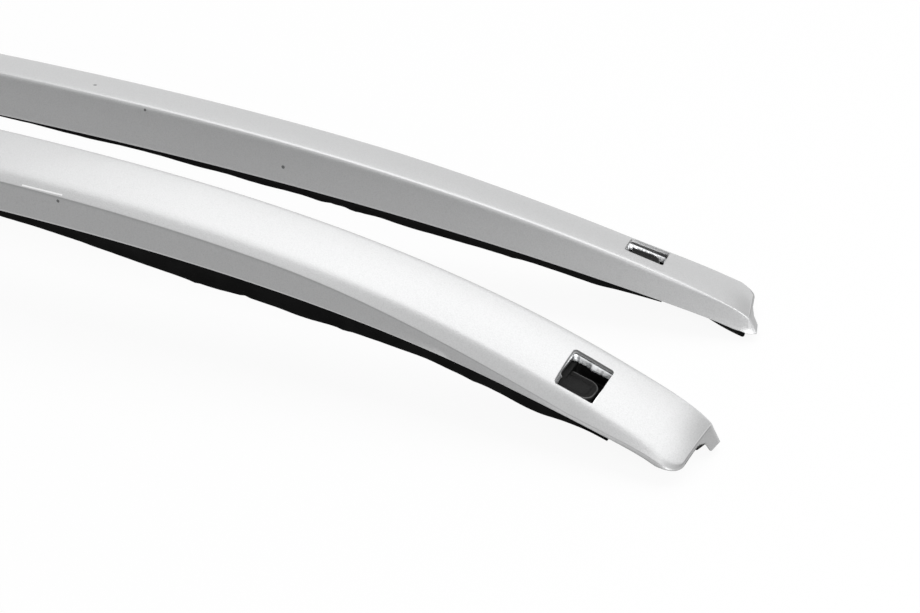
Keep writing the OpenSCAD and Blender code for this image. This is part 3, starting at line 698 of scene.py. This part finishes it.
def shell(side):
    """Skin of a rail: outer top, skirt down to the rim, inner skin and two lined windows."""
    start, bend, edge, rim, soft, edge_soft = skirt(0.0)
    start_i, bend_i, edge_i, rim_i, soft_i, edge_soft_i = skirt(WALL)
    up = np.array([0, 1.0])
    out = np.array([-1.0, 0])
    outer = np.concatenate([
        bezier(start, bend, toward(bend, edge, soft), 7)[1:],
        bezier(toward(edge, bend, edge_soft), edge, toward(edge, rim, edge_soft), 5),
        np.array([mixed(toward(edge, rim, edge_soft), rim, t)
                  for t in (0.07, 0.16, 0.19, 0.22, 0.5, 0.93)]),
        np.array([rim + 0.45 * up, rim + 0.13 * up - 0.1 * out, rim - 0.42 * out]),
    ])
    inner = np.concatenate([
        np.array([rim_i + 0.3 * out, rim_i + 0.3 * up]),
        np.array([mixed(rim_i, edge_i, t) for t in (0.35, 0.7)]),
        bezier(toward(edge_i, rim_i, edge_soft_i), edge_i, toward(edge_i, bend_i, edge_soft_i), 3),
        bezier(toward(bend_i, edge_i, soft_i * 0.7), bend_i, start_i, 4)[:-1],
    ])
    rings = ring_points(np.concatenate([outer, inner]))
    # Painted shade, ring by ring: in the crisp edge of the tips, just under the shoulder's edge, along
    # a faint line under that in the middle of the rail, and low on the short wall near the tips
    ring = np.arange(len(outer))
    tip_shade = np.interp(ring, [2, 5, 6, 7, 10, 19, 21], [0, 0.6, 0.75, 0.75, 0.5, 0.4, 0])
    lip_shade = np.interp(ring, [15, 18, 21], [0, 0.35, 0.2])
    edge_shade = np.interp(ring, [9, 11, 12, 13, 14], [0, 0.3, 0.4, 0.05, 0])
    line_shade = np.interp(ring, [14, 15, 16], [0, 0.35, 0])
    x0, a0 = loop(0.0)
    tip_end = SHORT * ease(np.abs(x0), HALF - 60, HALF - 15)
    ring_shade = (tip_shade[:, None] * TIP * ease(a0, 0.5, 3) + edge_shade[:, None] * SHORT
            + line_shade[:, None] * SHORT * (1 - ease(np.abs(x0), 455, 490))
            + lip_shade[:, None] * tip_end)
    grid_index = np.arange(ROWS * (COLS + 1)).reshape(ROWS, COLS + 1)
    grids = []
    for start_in, skin in ((start[:, 0], 0.0), (start_i[:, 0], WALL)):
        x, a, z = top_grid(start_in, skin)
        grids.append((x, a, in_space(x, a, z).reshape(-1, 3)))
    count = len(grids[0][2])
    # Painted shade along the tip line, most of it towards the crease
    dust_and_shade = (0.3 * ease(np.abs(grids[0][0]), HALF - 15, HALF - 2) * (1 - ease(grids[0][1], 10, 32)))
    # Painted shade over all the inner skin's rings
    inner_shade = np.full((len(rings) - len(ring_shade)) * LOOP_N, 0.6)
    painted_shade = [dust_and_shade.ravel(), np.zeros(count), ring_shade.ravel(), inner_shade]
    border = np.concatenate([grid_index[:, 0], grid_index[-1, 1:-1], grid_index[::-1, -1],
                             grid_index[0, -2:0:-1]])
    ring_index = 2 * count + np.arange(len(rings) * LOOP_N).reshape(len(rings), LOOP_N)
    table = np.concatenate([[border], ring_index, [border + count]])
    faces = [grid_quads(table, closed_cols=True)]
    keep = np.ones((ROWS - 1, COLS), bool)
    points = [grids[0][2], grids[1][2], rings.reshape(-1, 3)]
    total = 2 * count + rings.shape[0] * LOOP_N
    first = (ROWS - 1) // 2 + LEAD_ROWS
    collar_light = []
    for first_row, sign in ((first, 1), (ROWS - 1 - first - WINDOW_ROWS, -1)):
        keep[first_row:first_row + WINDOW_ROWS, LEDGE_COLS:LEDGE_COLS + WINDOW_COLS] = False
        rows, cols = window_ring(first_row)
        x, a, _ = grids[0]
        dx, dy = x[rows, cols] - sign * WIN_X, a[rows, cols] - WIN_MID
        # Further out than the window, how far below the top, for each ring of the collar
        steps = ((0.4, 0.0), (0.15, 0.02), (0.03, 0.1), (0.0, 0.25), (0.0, 1.2), (0.0, WALL - 0.3),
                 (0.15, WALL - 0.05), (0.3, WALL))
        # Painted shade darkens the window's wall except on the short side, and painted light brightens
        # the short side and the wall's lower half
        collar_shade = mixed(1.0, 0.0, ease(dy, WIN_W / 2 - 3, WIN_W / 2))
        painted_shade.append(np.outer([0.0, 0.0, 0.3, 0.9, 0.9, 0.15, 0.0, 0.0], collar_shade).ravel())
        lower = np.repeat([0, 0, 0, 0, 0.3, 1, 1, 1], len(rows))
        collar_light.append(np.outer([0.0, 0.0, 0.2, 0.6, 0.8, 1.0, 1.0, 1.0], 1 - 0.4 * collar_shade).ravel()
                     * np.maximum(lower, np.tile(1 - collar_shade, len(steps))))
        collar = []
        for grow, drop in steps:
            px, py = rounded(dx, dy, WIN_LEN / 2 + grow, WIN_W / 2 + grow, WIN_ROUND + grow)
            px, py = px + sign * WIN_X, py + WIN_MID
            collar.append(in_space(px, py, surface_z(px, py) - drop))
        points.append(np.array(collar).reshape(-1, 3))
        own = total + np.arange(len(steps) * len(rows)).reshape(len(steps), len(rows))
        total += own.size
        hole = grid_index[rows, cols]
        faces.append(grid_quads(np.concatenate([[hole], own, [hole + count]]), closed_cols=True))
    flat = grid_quads(grid_index).reshape(ROWS - 1, COLS, 4)[keep]
    faces += [flat, flat[:, ::-1] + count]
    # A painted highlight runs along the short wall's rim
    edge_highlight = np.interp(ring, [18, 19, 20, 21], [0, 0.45, 0.45, 0.15])[:, None] * SHORT * (1 - tip_end)
    plain = np.zeros(len(rings) * LOOP_N - edge_highlight.size)
    painted_light = np.concatenate([np.zeros(2 * count), edge_highlight.ravel(), plain] + collar_light)
    return smooth_solid(side + "_rail_skin", np.concatenate(points), faces, side, "silver_paint",
                        side + "_shell", sharp=50, painted_shade=np.concatenate(painted_shade), painted_light=painted_light)


# Seals


def hang_line(u, places, hangs):
    """Hang of a seal at a distance u from the tip: a cubic eased between measured places."""
    places, hangs = np.array(places, float), np.array(hangs, float)
    k = np.clip(np.searchsorted(places, u) - 1, 0, len(places) - 2)
    t = np.clip((u - places[k]) / (places[k + 1] - places[k]), 0, 1)
    slopes = np.gradient(hangs, places)
    gap = places[k + 1] - places[k]
    return ((2 * t ** 3 - 3 * t ** 2 + 1) * hangs[k] + (t ** 3 - 2 * t ** 2 + t) * gap * slopes[k]
            + (3 * t ** 2 - 2 * t ** 3) * hangs[k + 1] + (t ** 3 - t ** 2) * gap * slopes[k + 1])


# Distances from the tip and the hang of each seal there, in millimetres
SHORT_HANG = (
    (36, 46, 52, 62, 73, 84, 95, 117, 139, 150, 173, 195, 207, 222, 240, 263, 285, 311, 348, 385,
     440, 900),
    (0.02, 0.6, 1.5, 3.4, 5.6, 6.2, 5.7, 5.8, 5.5, 6.2, 7.6, 9.0, 9.8, 9.4, 9.5, 10.6, 9.7, 8.3, 5.5,
     3.4, 1.4, 0.9))
TALL_HANG = (
    (46, 57, 68, 79, 90, 101, 123, 134, 168, 191, 203, 214, 226, 238, 250, 274, 299, 317, 337,
     356, 382, 420, 900),
    (0.6, 1.5, 2.4, 3.6, 3.9, 3.7, 3.8, 4.1, 5.0, 5.4, 4.7, 5.0, 4.2, 4.9, 4.1, 4.3, 3.3, 3.4,
     2.6, 2.0, 2.2, 1.2, 1.0))
# Nicks in the seals' lower edges: distance from the tip, half length and depth
NICKS = {"short": ((239, 2.2, -0.7), (182, 2.5, 0.6), (269, 2.0, 0.5), (110, 3.0, 0.4)),
         "tall": ((219, 2.5, 0.7), (233, 2.0, -0.5), (128, 3.0, 0.4))}


def cut_corners(loop_points, share_cut):
    """Rounder closed outlines: each point is replaced by two, a share of the way along the two
    sides that meet there."""
    after = np.roll(loop_points, -1, axis=1)
    first = mixed(loop_points, after, share_cut)
    second = mixed(after, loop_points, share_cut)
    return np.stack([first, second], axis=2).reshape(len(loop_points), -1, 2)


def seal(side, kind):
    """Rubber strip: a grip inside the wall, a neck under the rim and a rolled lip that hangs.

    One closed section of twelve corners is carried along the rail; its corners are cut twice,
    and the lip's hang follows the measured line with an uneven, nicked lower edge.
    """
    short = kind == "short"
    end = SHORT_END if short else TALL_END
    x = np.linspace(end - HALF, HALF - end, 561)
    u = HALF - np.abs(x)
    hang = hang_line(u, *(SHORT_HANG if short else TALL_HANG))
    loose = ease(u, TALL_END, TALL_END + 30)
    seed = (3 if short else 8) + (0.7 if side == "right" else 0.0)
    hang = hang + loose * (0.22 * wander(x, 21, seed) + 0.1 * wander(x, 4, seed + 2))
    for at, reach, deep in NICKS[kind]:
        hang = hang + deep * np.exp(-((u - at) / reach) ** 2) * (x > 0)
    into = 1 if short else -1
    out = width(x) + SHORT_DRAFT if short else 0 * x - TALL_DRAFT
    draft = SHORT_DRAFT if short else TALL_DRAFT
    height = (edge_h(x) - WALL / 2 if short else top(x, WALL) - WALL) + depth(x)
    grip = np.minimum(SEAL_GRIP, height / 2)
    taper = draft * grip / height
    # Distance in from the outside of the wall and height over the rim, corner by corner
    bead = np.minimum(1.1, hang * 0.4)
    roll = 0.35 * loose
    corners = (
        (WALL + FIT + SEAL_T + taper, grip), (WALL + FIT + taper, grip), (WALL + FIT, -FIT),
        (FIT, -FIT), (2 * FIT + 0.25, -FIT - 0.35 * hang), (2 * FIT + 0.25, -FIT - hang + 1.6 * bead),
        (2 * FIT - roll, -FIT - hang + 1.1 * bead), (2 * FIT - roll, -FIT - hang),
        (2 * FIT + 0.9 * SEAL_T, -FIT - hang), (2 * FIT + SEAL_T, -FIT - hang + 1.2 * bead),
        (WALL + FIT + 0.5 * SEAL_T, -FIT - 0.4 * hang), (WALL + FIT + SEAL_T, -FIT),
    )
    section = np.stack([np.stack(np.broadcast_arrays(inset + 0 * x, h + 0 * x), axis=-1)
                        for inset, h in corners], axis=1)
    section = cut_corners(cut_corners(section, 0.25), 0.25)
    a = out[:, None] - into * section[:, :, 0]
    z = (crease_z(x) - depth(x))[:, None] + section[:, :, 1]
    points = in_space(x[:, None], a, z)
    rows, cols = a.shape
    index = np.arange(rows * cols).reshape(rows, cols)
    ends = points[[0, -1]].mean(axis=1)
    faces = [grid_quads(index, closed_cols=True), fan(index[0], rows * cols),
             fan(index[-1], rows * cols + 1)]
    name = side + "_" + kind + "_seal"
    return smooth_solid(name + "_strip", np.concatenate([points.reshape(-1, 3), ends]), faces,
                        side, "seal_rubber", name, sharp=60)


# Anchor plates and cups


def seat_frame(x, a):
    """Place on the top with three directions: along the rail, across it and square to it."""
    turn, dip = heading(x), -np.arctan(crease_slope(x))
    tilt = math.tan(math.radians(float(mixed(MID_TILT, TIP_TILT, near_tip(x)))))
    crown = float(mixed(MID_CROWN, TIP_CROWN, near_tip(x)))
    reach = float(width(x) - band(x))
    roll = -math.atan(-tilt + 4 * crown / reach * (1 - 2 * a / reach))
    return (in_space(x, a, surface_z(x, a)), turned(turn, dip, roll), reach ** 2 / (8 * crown))


def turned(turn, dip, roll):
    """Rotation that rolls about x, then dips about y, then turns about z."""
    c, s = math.cos(roll), math.sin(roll)
    about_x = np.array([[1, 0, 0], [0, c, -s], [0, s, c]])
    c, s = math.cos(dip), math.sin(dip)
    about_y = np.array([[c, 0, s], [0, 1, 0], [-s, 0, c]])
    c, s = math.cos(turn), math.sin(turn)
    about_z = np.array([[c, -s, 0], [s, c, 0], [0, 0, 1]])
    return about_z @ about_y @ about_x


def outline(half_x, half_y, r, n):
    """Closed rectangle with round corners in 4 n + 4 points: a quarter circle at each corner."""
    t = np.linspace(0, np.pi / 2, n + 1)
    quarter = np.stack([np.cos(t), np.sin(t)], axis=-1)
    quarter_turn = np.array([[0, 1], [-1, 0]])
    runs = []
    for k, (sx, sy) in enumerate(((1, 1), (-1, 1), (-1, -1), (1, -1))):
        rotated = quarter @ np.linalg.matrix_power(quarter_turn, k)
        runs.append(rotated * r + [sx * (half_x - r), sy * (half_y - r)])
    return np.concatenate(runs)


def even_outline(half_x, half_y, r, count):
    """The same outline in evenly spaced points, from a walk along its length."""
    line = outline(half_x, half_y, r, 16)
    line = np.concatenate([line, line[:1]])
    walk = np.concatenate([[0], np.cumsum(np.hypot(*np.diff(line, axis=0).T))])
    at = np.linspace(0, walk[-1], count, endpoint=False)
    return np.stack([np.interp(at, walk, line[:, 0]), np.interp(at, walk, line[:, 1])], axis=-1)


def anchor_plate(side, end):
    """Steel plate rolled to the crown, with a torn opening for the crossbar's foot, whose torn edge
    gets a painted highlight.

    Rings run from the opening's edge over the top to the outside and back under the plate;
    the height of a ring is that of a roll about the crown's own axis.
    """
    x = WIN_X if end == "front" else -WIN_X
    origin, axes, crown_r = seat_frame(x, WIN_MID)
    count = 300
    hole_x, hole_y = WIN_LEN / 2 - 0.05, WIN_W / 2 - PLATE_STEP
    outer = even_outline(PLATE_LEN / 2, PLATE_W / 2, 2.5, count)
    walk = np.arange(count) / count
    seed = (4 if side == "left" else 9) + (0 if end == "front" else 2)
    torn = sum(size * np.sin(2 * np.pi * (k * walk) + seed * k) for k, size in
               ((5, 0.22), (9, 0.24), (14, 0.2), (23, 0.14), (37, 0.12), (61, 0.08)))
    # The tear runs along the crease's side, round the end nearer the middle of the rail up to
    # the short side's corner, and more faintly along the short side
    spot = even_outline(hole_x, hole_y, 1.6, count)
    inward = -np.sign(x) * spot[:, 0]
    frayed = np.maximum(ease(spot[:, 1], hole_y - 1.5, hole_y - 0.3)
                        + 0.45 * ease(-spot[:, 1], hole_y - 1.5, hole_y - 0.3),
                        ease(-spot[:, 1], 2.0, 4.5) * ease(inward, hole_x - 3, hole_x - 1))
    # Step in from the window, share of the way to the outside, level, tear of the ragged edge
    rings = ((1.5, 0.0, -0.5, 0.9), (1.45, 0.0, -0.4, 1.0), (1.0, 0.0, -0.1, 0.7),
             (0.45, 0.0, 0.25, 0.35), (0.1, 0.0, 0.45, 0.15), (0.0, 0.03, 0.5, 0.05),
             (0.0, 0.3, 0.5, 0.0), (0.0, 0.65, 0.5, 0.0), (0.0, 0.97, 0.5, 0.0),
             (0.0, 1.0, 0.4, 0.0), (0.0, 1.0, -0.4, 0.0), (0.0, 0.97, -0.5, 0.0),
             (0.0, 0.5, -0.5, 0.0))
    points = []
    for step, part, level, tear in rings:
        inner = spot * [1 - step * 0.05 / hole_x, 1 - step / hole_y]
        inner[:, 1] += np.where(spot[:, 1] < 0, -0.5 * step, 0.0) * ease(-spot[:, 1], 6, hole_y)
        inner[:, 0] += np.sign(x) * step * 0.9 * frayed * ease(inward, hole_x - 3, hole_x - 1)
        direction = inner / np.linalg.norm(inner, axis=-1, keepdims=True)
        flat = mixed(inner, outer, part) + direction * (torn * tear * frayed)[:, None]
        deep = WALL + PLATE_FIT + PLATE_T / 2 - level * PLATE_T
        roll = np.sqrt((crown_r - deep) ** 2 - flat[:, 1] ** 2) - crown_r
        ragged = 0.35 * np.roll(torn, 7) * tear * frayed
        points.append(np.stack([flat[:, 0], flat[:, 1], roll + ragged], axis=-1) @ axes.T + origin)
    index = np.arange(len(rings) * count).reshape(len(rings), count)
    name = side + "_" + end + "_anchor_plate"
    # The torn edge gets a painted highlight and the rest of the opening's edge a painted shade
    bright = np.concatenate([frayed if row < 5 else 0 * frayed for row in range(len(rings))])
    plate_shade = np.concatenate([0.62 * (1 - frayed) if row < 4 else 0 * frayed for row in range(len(rings))])
    return smooth_solid(name + "_rolled", np.concatenate(points),
                        [grid_quads(index, closed_rows=True, closed_cols=True)], side,
                        "galvanised_steel", name, sharp=38, painted_shade=plate_shade, painted_light=bright)


def anchor_cup(side, end):
    """Moulded cup: a box with a raised round-ended seat on its floor and two screw posts.

    The floor is a grid, and rounded outlines are stacked from its border up the inside, over
    the rim with its narrow flange, down the outside and back under the floor.
    """
    x = WIN_X if end == "front" else -WIN_X
    top_at, top_axes, crown_r = seat_frame(x, WIN_MID)
    rim_slope = crease_slope(x) + np.sign(x) * TIP_TAPER * 5.4 * share(x) ** 4.4 / HALF
    axes = turned(float(heading(x)), -math.atan(rim_slope), 0.0)
    origin = in_space(x, WIN_MID, crease_z(x) - depth(x))

    def ceiling(flat):
        """Height over the rim at which the underside of the plate lies, less the fit."""
        rays = np.stack([flat[:, 0], flat[:, 1], 0 * flat[:, 0]], axis=-1) @ axes.T + origin - top_at
        local, up = rays @ top_axes, axes[:, 2] @ top_axes
        centre = np.array([0, -crown_r])
        base, way = local[:, 1:] - centre, up[1:]
        r = crown_r - (WALL + PLATE_FIT + PLATE_T + FIT)
        b, c = base @ way, np.sum(base ** 2, axis=-1) - r ** 2
        return (-b + np.sqrt(b ** 2 - (way @ way) * c)) / (way @ way)

    in_x, in_y = (WIN_LEN + FIT * 2) / 2, (WIN_W + FIT) / 2
    low = CUP_RISE + CUP_WALL
    # Floor: a grid whose height follows the distance from the seat's round-ended outline
    gx = np.linspace(-in_x + 0.9, in_x - 0.9, 78)
    gy = np.linspace(-in_y + 0.9, in_y - 0.9, 86)
    fx, fy = np.meshgrid(gx, gy, indexing="ij")
    px, py = fx + np.sign(x) * SEAT_BACK, fy - SEAT_ASIDE
    over_x, over_y = np.abs(px) - SEAT_LEN / 2 + SEAT_R, np.abs(py) - SEAT_W / 2 + SEAT_R
    off = (np.hypot(np.maximum(over_x, 0), np.maximum(over_y, 0))
           + np.minimum(np.maximum(over_x, over_y), 0) - SEAT_R)
    fz = (low + SEAT_H * (1 - ease(off, -0.1, 0.35)) + 0.2 * np.exp(-((off + 0.45) / 0.3) ** 2)
          - 0.4 * (1 - ease(off, -2.4, -1.4)) + 0.3 * (1 - ease(off, -3.6, -3.0)))
    # Painted highlight along the seat's edge
    edge_highlight = np.exp(-((off + 0.35) / 0.28) ** 2)
    table = np.arange(fx.size).reshape(fx.shape)
    rim = np.concatenate([table[:-1, 0], table[-1, :-1], table[:0:-1, -1], table[0, :0:-1]])
    bx, by, bz = fx.ravel()[rim], fy.ravel()[rim], fz.ravel()[rim]
    count = len(rim)
    # Growth past the floor's grid, corner radius, height over the rim or, at 0 and less, from
    # the plate's line, and share of the flange that reaches under the plate beside the posts
    edge = 0.9 + CUP_WALL
    stack = ((0.35, 2.4, low + 0.12, 0), (0.7, 2.4, low + 0.5, 0), (0.85, 2.2, low + 1.4, 0),
             (0.9, 1.6, 0.0, 0), (edge, 2.6, 0.0, 0.9), (edge, 2.6, -0.15, 1), (edge, 2.6, -1.1, 1),
             (edge, 2.6, -1.3, 0), (edge, 2.6, CUP_RISE + 0.9, 0),
             (edge - 0.25, 2.4, CUP_RISE + 0.25, 0), (edge - 0.9, 2.0, CUP_RISE, 0))
    points = [np.column_stack([fx.ravel(), fy.ravel(), fz.ravel()])]
    for grow, r, level, part in stack:
        wide = part * CUP_FLANGE * ease(np.abs(by), 2.0, 4.0)
        flat = np.column_stack(rounded(bx, by, in_x - 0.9 + grow, in_y - 0.9 + grow, r))
        flat[:, 0] *= 1 + wide / (in_x - 0.9 + grow)
        z = ceiling(flat) - 0.1 + level if level <= 0 else np.full(count, level)
        if grow < 0.9:
            z = np.maximum(z, bz + 0.2 * grow)
        points.append(np.column_stack([flat, z]))
    total = fx.size + len(stack) * count
    index = fx.size + np.arange(len(stack) * count).reshape(len(stack), count)
    faces = [grid_quads(table), grid_quads(np.concatenate([[rim], index]), closed_cols=True),
             fan(index[-1], total)]
    middle = np.array([[0, 0, CUP_RISE]])
    points = [np.concatenate(points), middle]
    total += 1
    for way in (-1, 1):
        post, tables = screw_post(way, in_x + CUP_WALL, ceiling, total)
        points.append(post)
        faces.append(tables)
        total += len(post)
    name = side + "_" + end + "_anchor_cup"
    painted_light = np.zeros(total)
    painted_light[:fx.size] = edge_highlight.ravel()
    return smooth_solid(name + "_moulded", np.concatenate(points) @ axes.T + origin, faces, side,
                        "black_plastic", name, sharp=40, painted_light=painted_light)


def screw_post(way, from_x, ceiling, base):
    """Post with a stepped screw hole: rings go up the outside and down the bore."""
    count = 64
    centre = np.array([way * (from_x + POST_LEN / 2 - 0.4), 0])
    outside = even_outline(POST_LEN / 2 + 0.4, POST_W / 2, 1.5, count)
    bore, well = even_outline(1.35, 1.35, 1.34, count), even_outline(2.6, 2.6, 2.59, count)
    stack = ((outside * 0.94, CUP_RISE), (outside, CUP_RISE + 0.3), (outside, None),
             (bore, None), (bore, CUP_RISE + 1.7), (well, CUP_RISE + 1.7), (well, CUP_RISE))
    rings = []
    for flat, level in stack:
        flat = flat + centre
        z = ceiling(flat) - 0.1 if level is None else np.full(count, level)
        rings.append(np.column_stack([flat, z]))
    index = base + np.arange(len(stack) * count).reshape(len(stack), count)
    return np.concatenate(rings), grid_quads(index, closed_rows=True, closed_cols=True)


def tip_pad(side, end):
    """Rubber pad inside a tip: it hangs under the tall wall's rim and stands on its nose.

    A rounded section is carried along the rail. Its underside is a parabola that rises from the
    nose and leans up across the rail; the section closes as a quarter circle at the nose.
    """
    sign = 1 if end == "front" else -1
    turn = np.linspace(0, np.pi / 2, 9)[1:]
    x = np.concatenate([np.linspace(PAD_BACK_X, PAD_FRONT_X - PAD_NOSE, 40),
                        PAD_FRONT_X - PAD_NOSE * (1 - np.sin(turn))])
    part = np.concatenate([np.ones(40), np.maximum(np.cos(turn), 0.02)])
    section = outline(1, 1, 0.22, 6)
    across, up = (section[:, 0] + 1) / 2, (section[:, 1] + 1) / 2
    a = mixed(PAD_IN, PAD_IN + PAD_W, across)[None, :] + 0 * x[:, None]
    back = (PAD_FRONT_X - 1.0 - x)[:, None]
    low = 0.36 * back + 0.0068 * back ** 2 + PAD_LEAN * (a - PAD_IN)
    high = surface_z(x[:, None], a) - WALL - 2 * FIT
    z = mixed(low, high, up[None, :])
    middle = (low + high) / 2
    z = middle + (z - middle) * mixed(0.55, 1, part)[:, None]
    rim = (crease_z(x) + tall_rim(x))[:, None]
    a = a + (1 - across) * (TALL_DRAFT + 0.4) * np.clip((z - rim) / (high - rim), 0, 1)
    rib = 0.3 * np.cos(up * 2 * np.pi * 7) * (across < 0.03)
    a = a + rib * part[:, None]
    points = in_space(x[:, None], a, np.maximum(z, 0.0))
    points[..., 0] *= sign
    rows, cols = a.shape
    index = np.arange(rows * cols).reshape(rows, cols)
    ends = points[[0, -1]].mean(axis=1)
    faces = [grid_quads(index, closed_cols=True), fan(index[0], rows * cols),
             fan(index[-1], rows * cols + 1)]
    name = side + "_" + end + "_tip_pad"
    return smooth_solid(name + "_moulded", np.concatenate([points.reshape(-1, 3), ends]), faces,
                        side, "seal_rubber", name, sharp=50)


for side in ("left", "right"):
    shell(side)
    seal(side, "short")
    seal(side, "tall")
    for end in ("front", "rear"):
        anchor_plate(side, end)
        anchor_cup(side, end)
        tip_pad(side, end)


# Materials of the nodes that stay as they are
CAD_FINISH = {
    "carrier_channel": "galvanised_steel", "cup_screws": "screw_steel",
    "thread_inserts": "screw_steel", "mounting_feet": "black_plastic", "foot_rings": "seal_rubber",
}
for node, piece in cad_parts.items():
    for ending, slot in CAD_FINISH.items():
        if node.endswith(ending):
            for place in piece.material_slots:
                place.material = FINISHES[slot]


# Floor, light and camera

# Share of plain white in the floor, and level of the painted reflection of the paper that polished
# things see in front
FLOOR_GLOW, FRONT_GLOW = 0.92, 0.42
# Level of the surround's own light
AMBIENT = 0.35
# Name, place, aim, size and power of each lamp
LAMPS = (
    ("overhead_lamp", (0.8, 0.75, 1.95), (0.7, -0.05, 0.05), (3.0, 1.9), 33.0),
    ("front_lamp", (2.5, -1.4, 0.9), (0.8, -0.05, 0.03), (1.2, 0.9), 31.0),
)


def studio():
    """Pale floor that keeps a soft shadow, white surround and two large soft lamps."""
    mesh = bpy.data.meshes.new("studio_floor")
    reach = 8.0
    mesh.from_pydata([(-reach, -reach, 0), (reach, -reach, 0), (reach, reach, 0), (-reach, reach, 0)],
                     [], [(0, 1, 2, 3)])
    floor = bpy.data.objects.new("studio_floor", mesh)
    bpy.context.scene.collection.objects.link(floor)
    f = Finish("pale_floor", Base_Color=(0.93, 0.93, 0.93, 1), Roughness=0.9, Specular_IOR_Level=0.0)
    path = f.add("ShaderNodeLightPath")
    glossy = Wire(f, path.socket.node.outputs["Is Glossy Ray"])
    # Painted reflection: polished things see the paper darker in front of the rails, while the camera
    # sees it white
    front = 1 - f.along(1).bound(-0.12, -0.04)
    far = f.distance((0, 0, 0)).bound(1.3, 2.6)
    seen = ((path + glossy) * (FLOOR_GLOW + (1 - FLOOR_GLOW) * far)).held()
    paper = f.blend(glossy * front, (1, 1, 1), (FRONT_GLOW, FRONT_GLOW, FRONT_GLOW))
    glow = f.add("ShaderNodeEmission", None, {"Color": paper, "Strength": 1.0})
    mix = f.add("ShaderNodeMixShader", None,
                {0: seen, 1: Wire(f, f.shader.outputs[0]), 2: glow})
    f.feed(f.tree.nodes["Material Output"].inputs["Surface"], mix)
    mesh.materials.append(f.material)

    world = bpy.data.worlds.new("studio_surround")
    bpy.context.scene.world = world
    world.use_nodes = True
    tree = world.node_tree
    back = tree.nodes["Background"]
    back.inputs["Color"].default_value = (1, 1, 1, 1)
    path = tree.nodes.new("ShaderNodeLightPath")
    seen = tree.nodes.new("ShaderNodeMath")
    seen.operation = "MAXIMUM"
    tree.links.new(path.outputs["Is Camera Ray"], seen.inputs[0])
    tree.links.new(path.outputs["Is Glossy Ray"], seen.inputs[1])
    level = tree.nodes.new("ShaderNodeMapRange")
    level.inputs["To Min"].default_value = AMBIENT
    level.inputs["To Max"].default_value = 1.0
    tree.links.new(seen.outputs[0], level.inputs["Value"])
    tree.links.new(level.outputs[0], back.inputs["Strength"])

    for name, place, aim, size, power in LAMPS:
        lamp = bpy.data.lights.new(name, "AREA")
        lamp.shape = "RECTANGLE"
        lamp.size, lamp.size_y = size
        lamp.energy = power
        holder = bpy.data.objects.new(name, lamp)
        holder.location = place
        way = np.array(aim, float) - place
        flat = math.hypot(way[0], way[1])
        holder.rotation_euler = (math.atan2(flat, -way[2]), 0, math.atan2(way[1], way[0]) - math.pi / 2)
        bpy.context.scene.collection.objects.link(holder)


def camera():
    """Camera of the photograph, fitted to the rails' edges."""
    data = bpy.data.cameras.new("photo_camera")
    data.lens = 70.83
    data.sensor_width = 36
    holder = bpy.data.objects.new("photo_camera", data)
    holder.location = (1.02164, -0.75812, 0.50671)
    holder.rotation_euler = (math.pi / 2 - 0.5403, 0, 0.3871)
    bpy.context.scene.collection.objects.link(holder)
    bpy.context.scene.camera = holder


studio()
camera()
bpy.context.scene.view_settings.view_transform = "Standard"
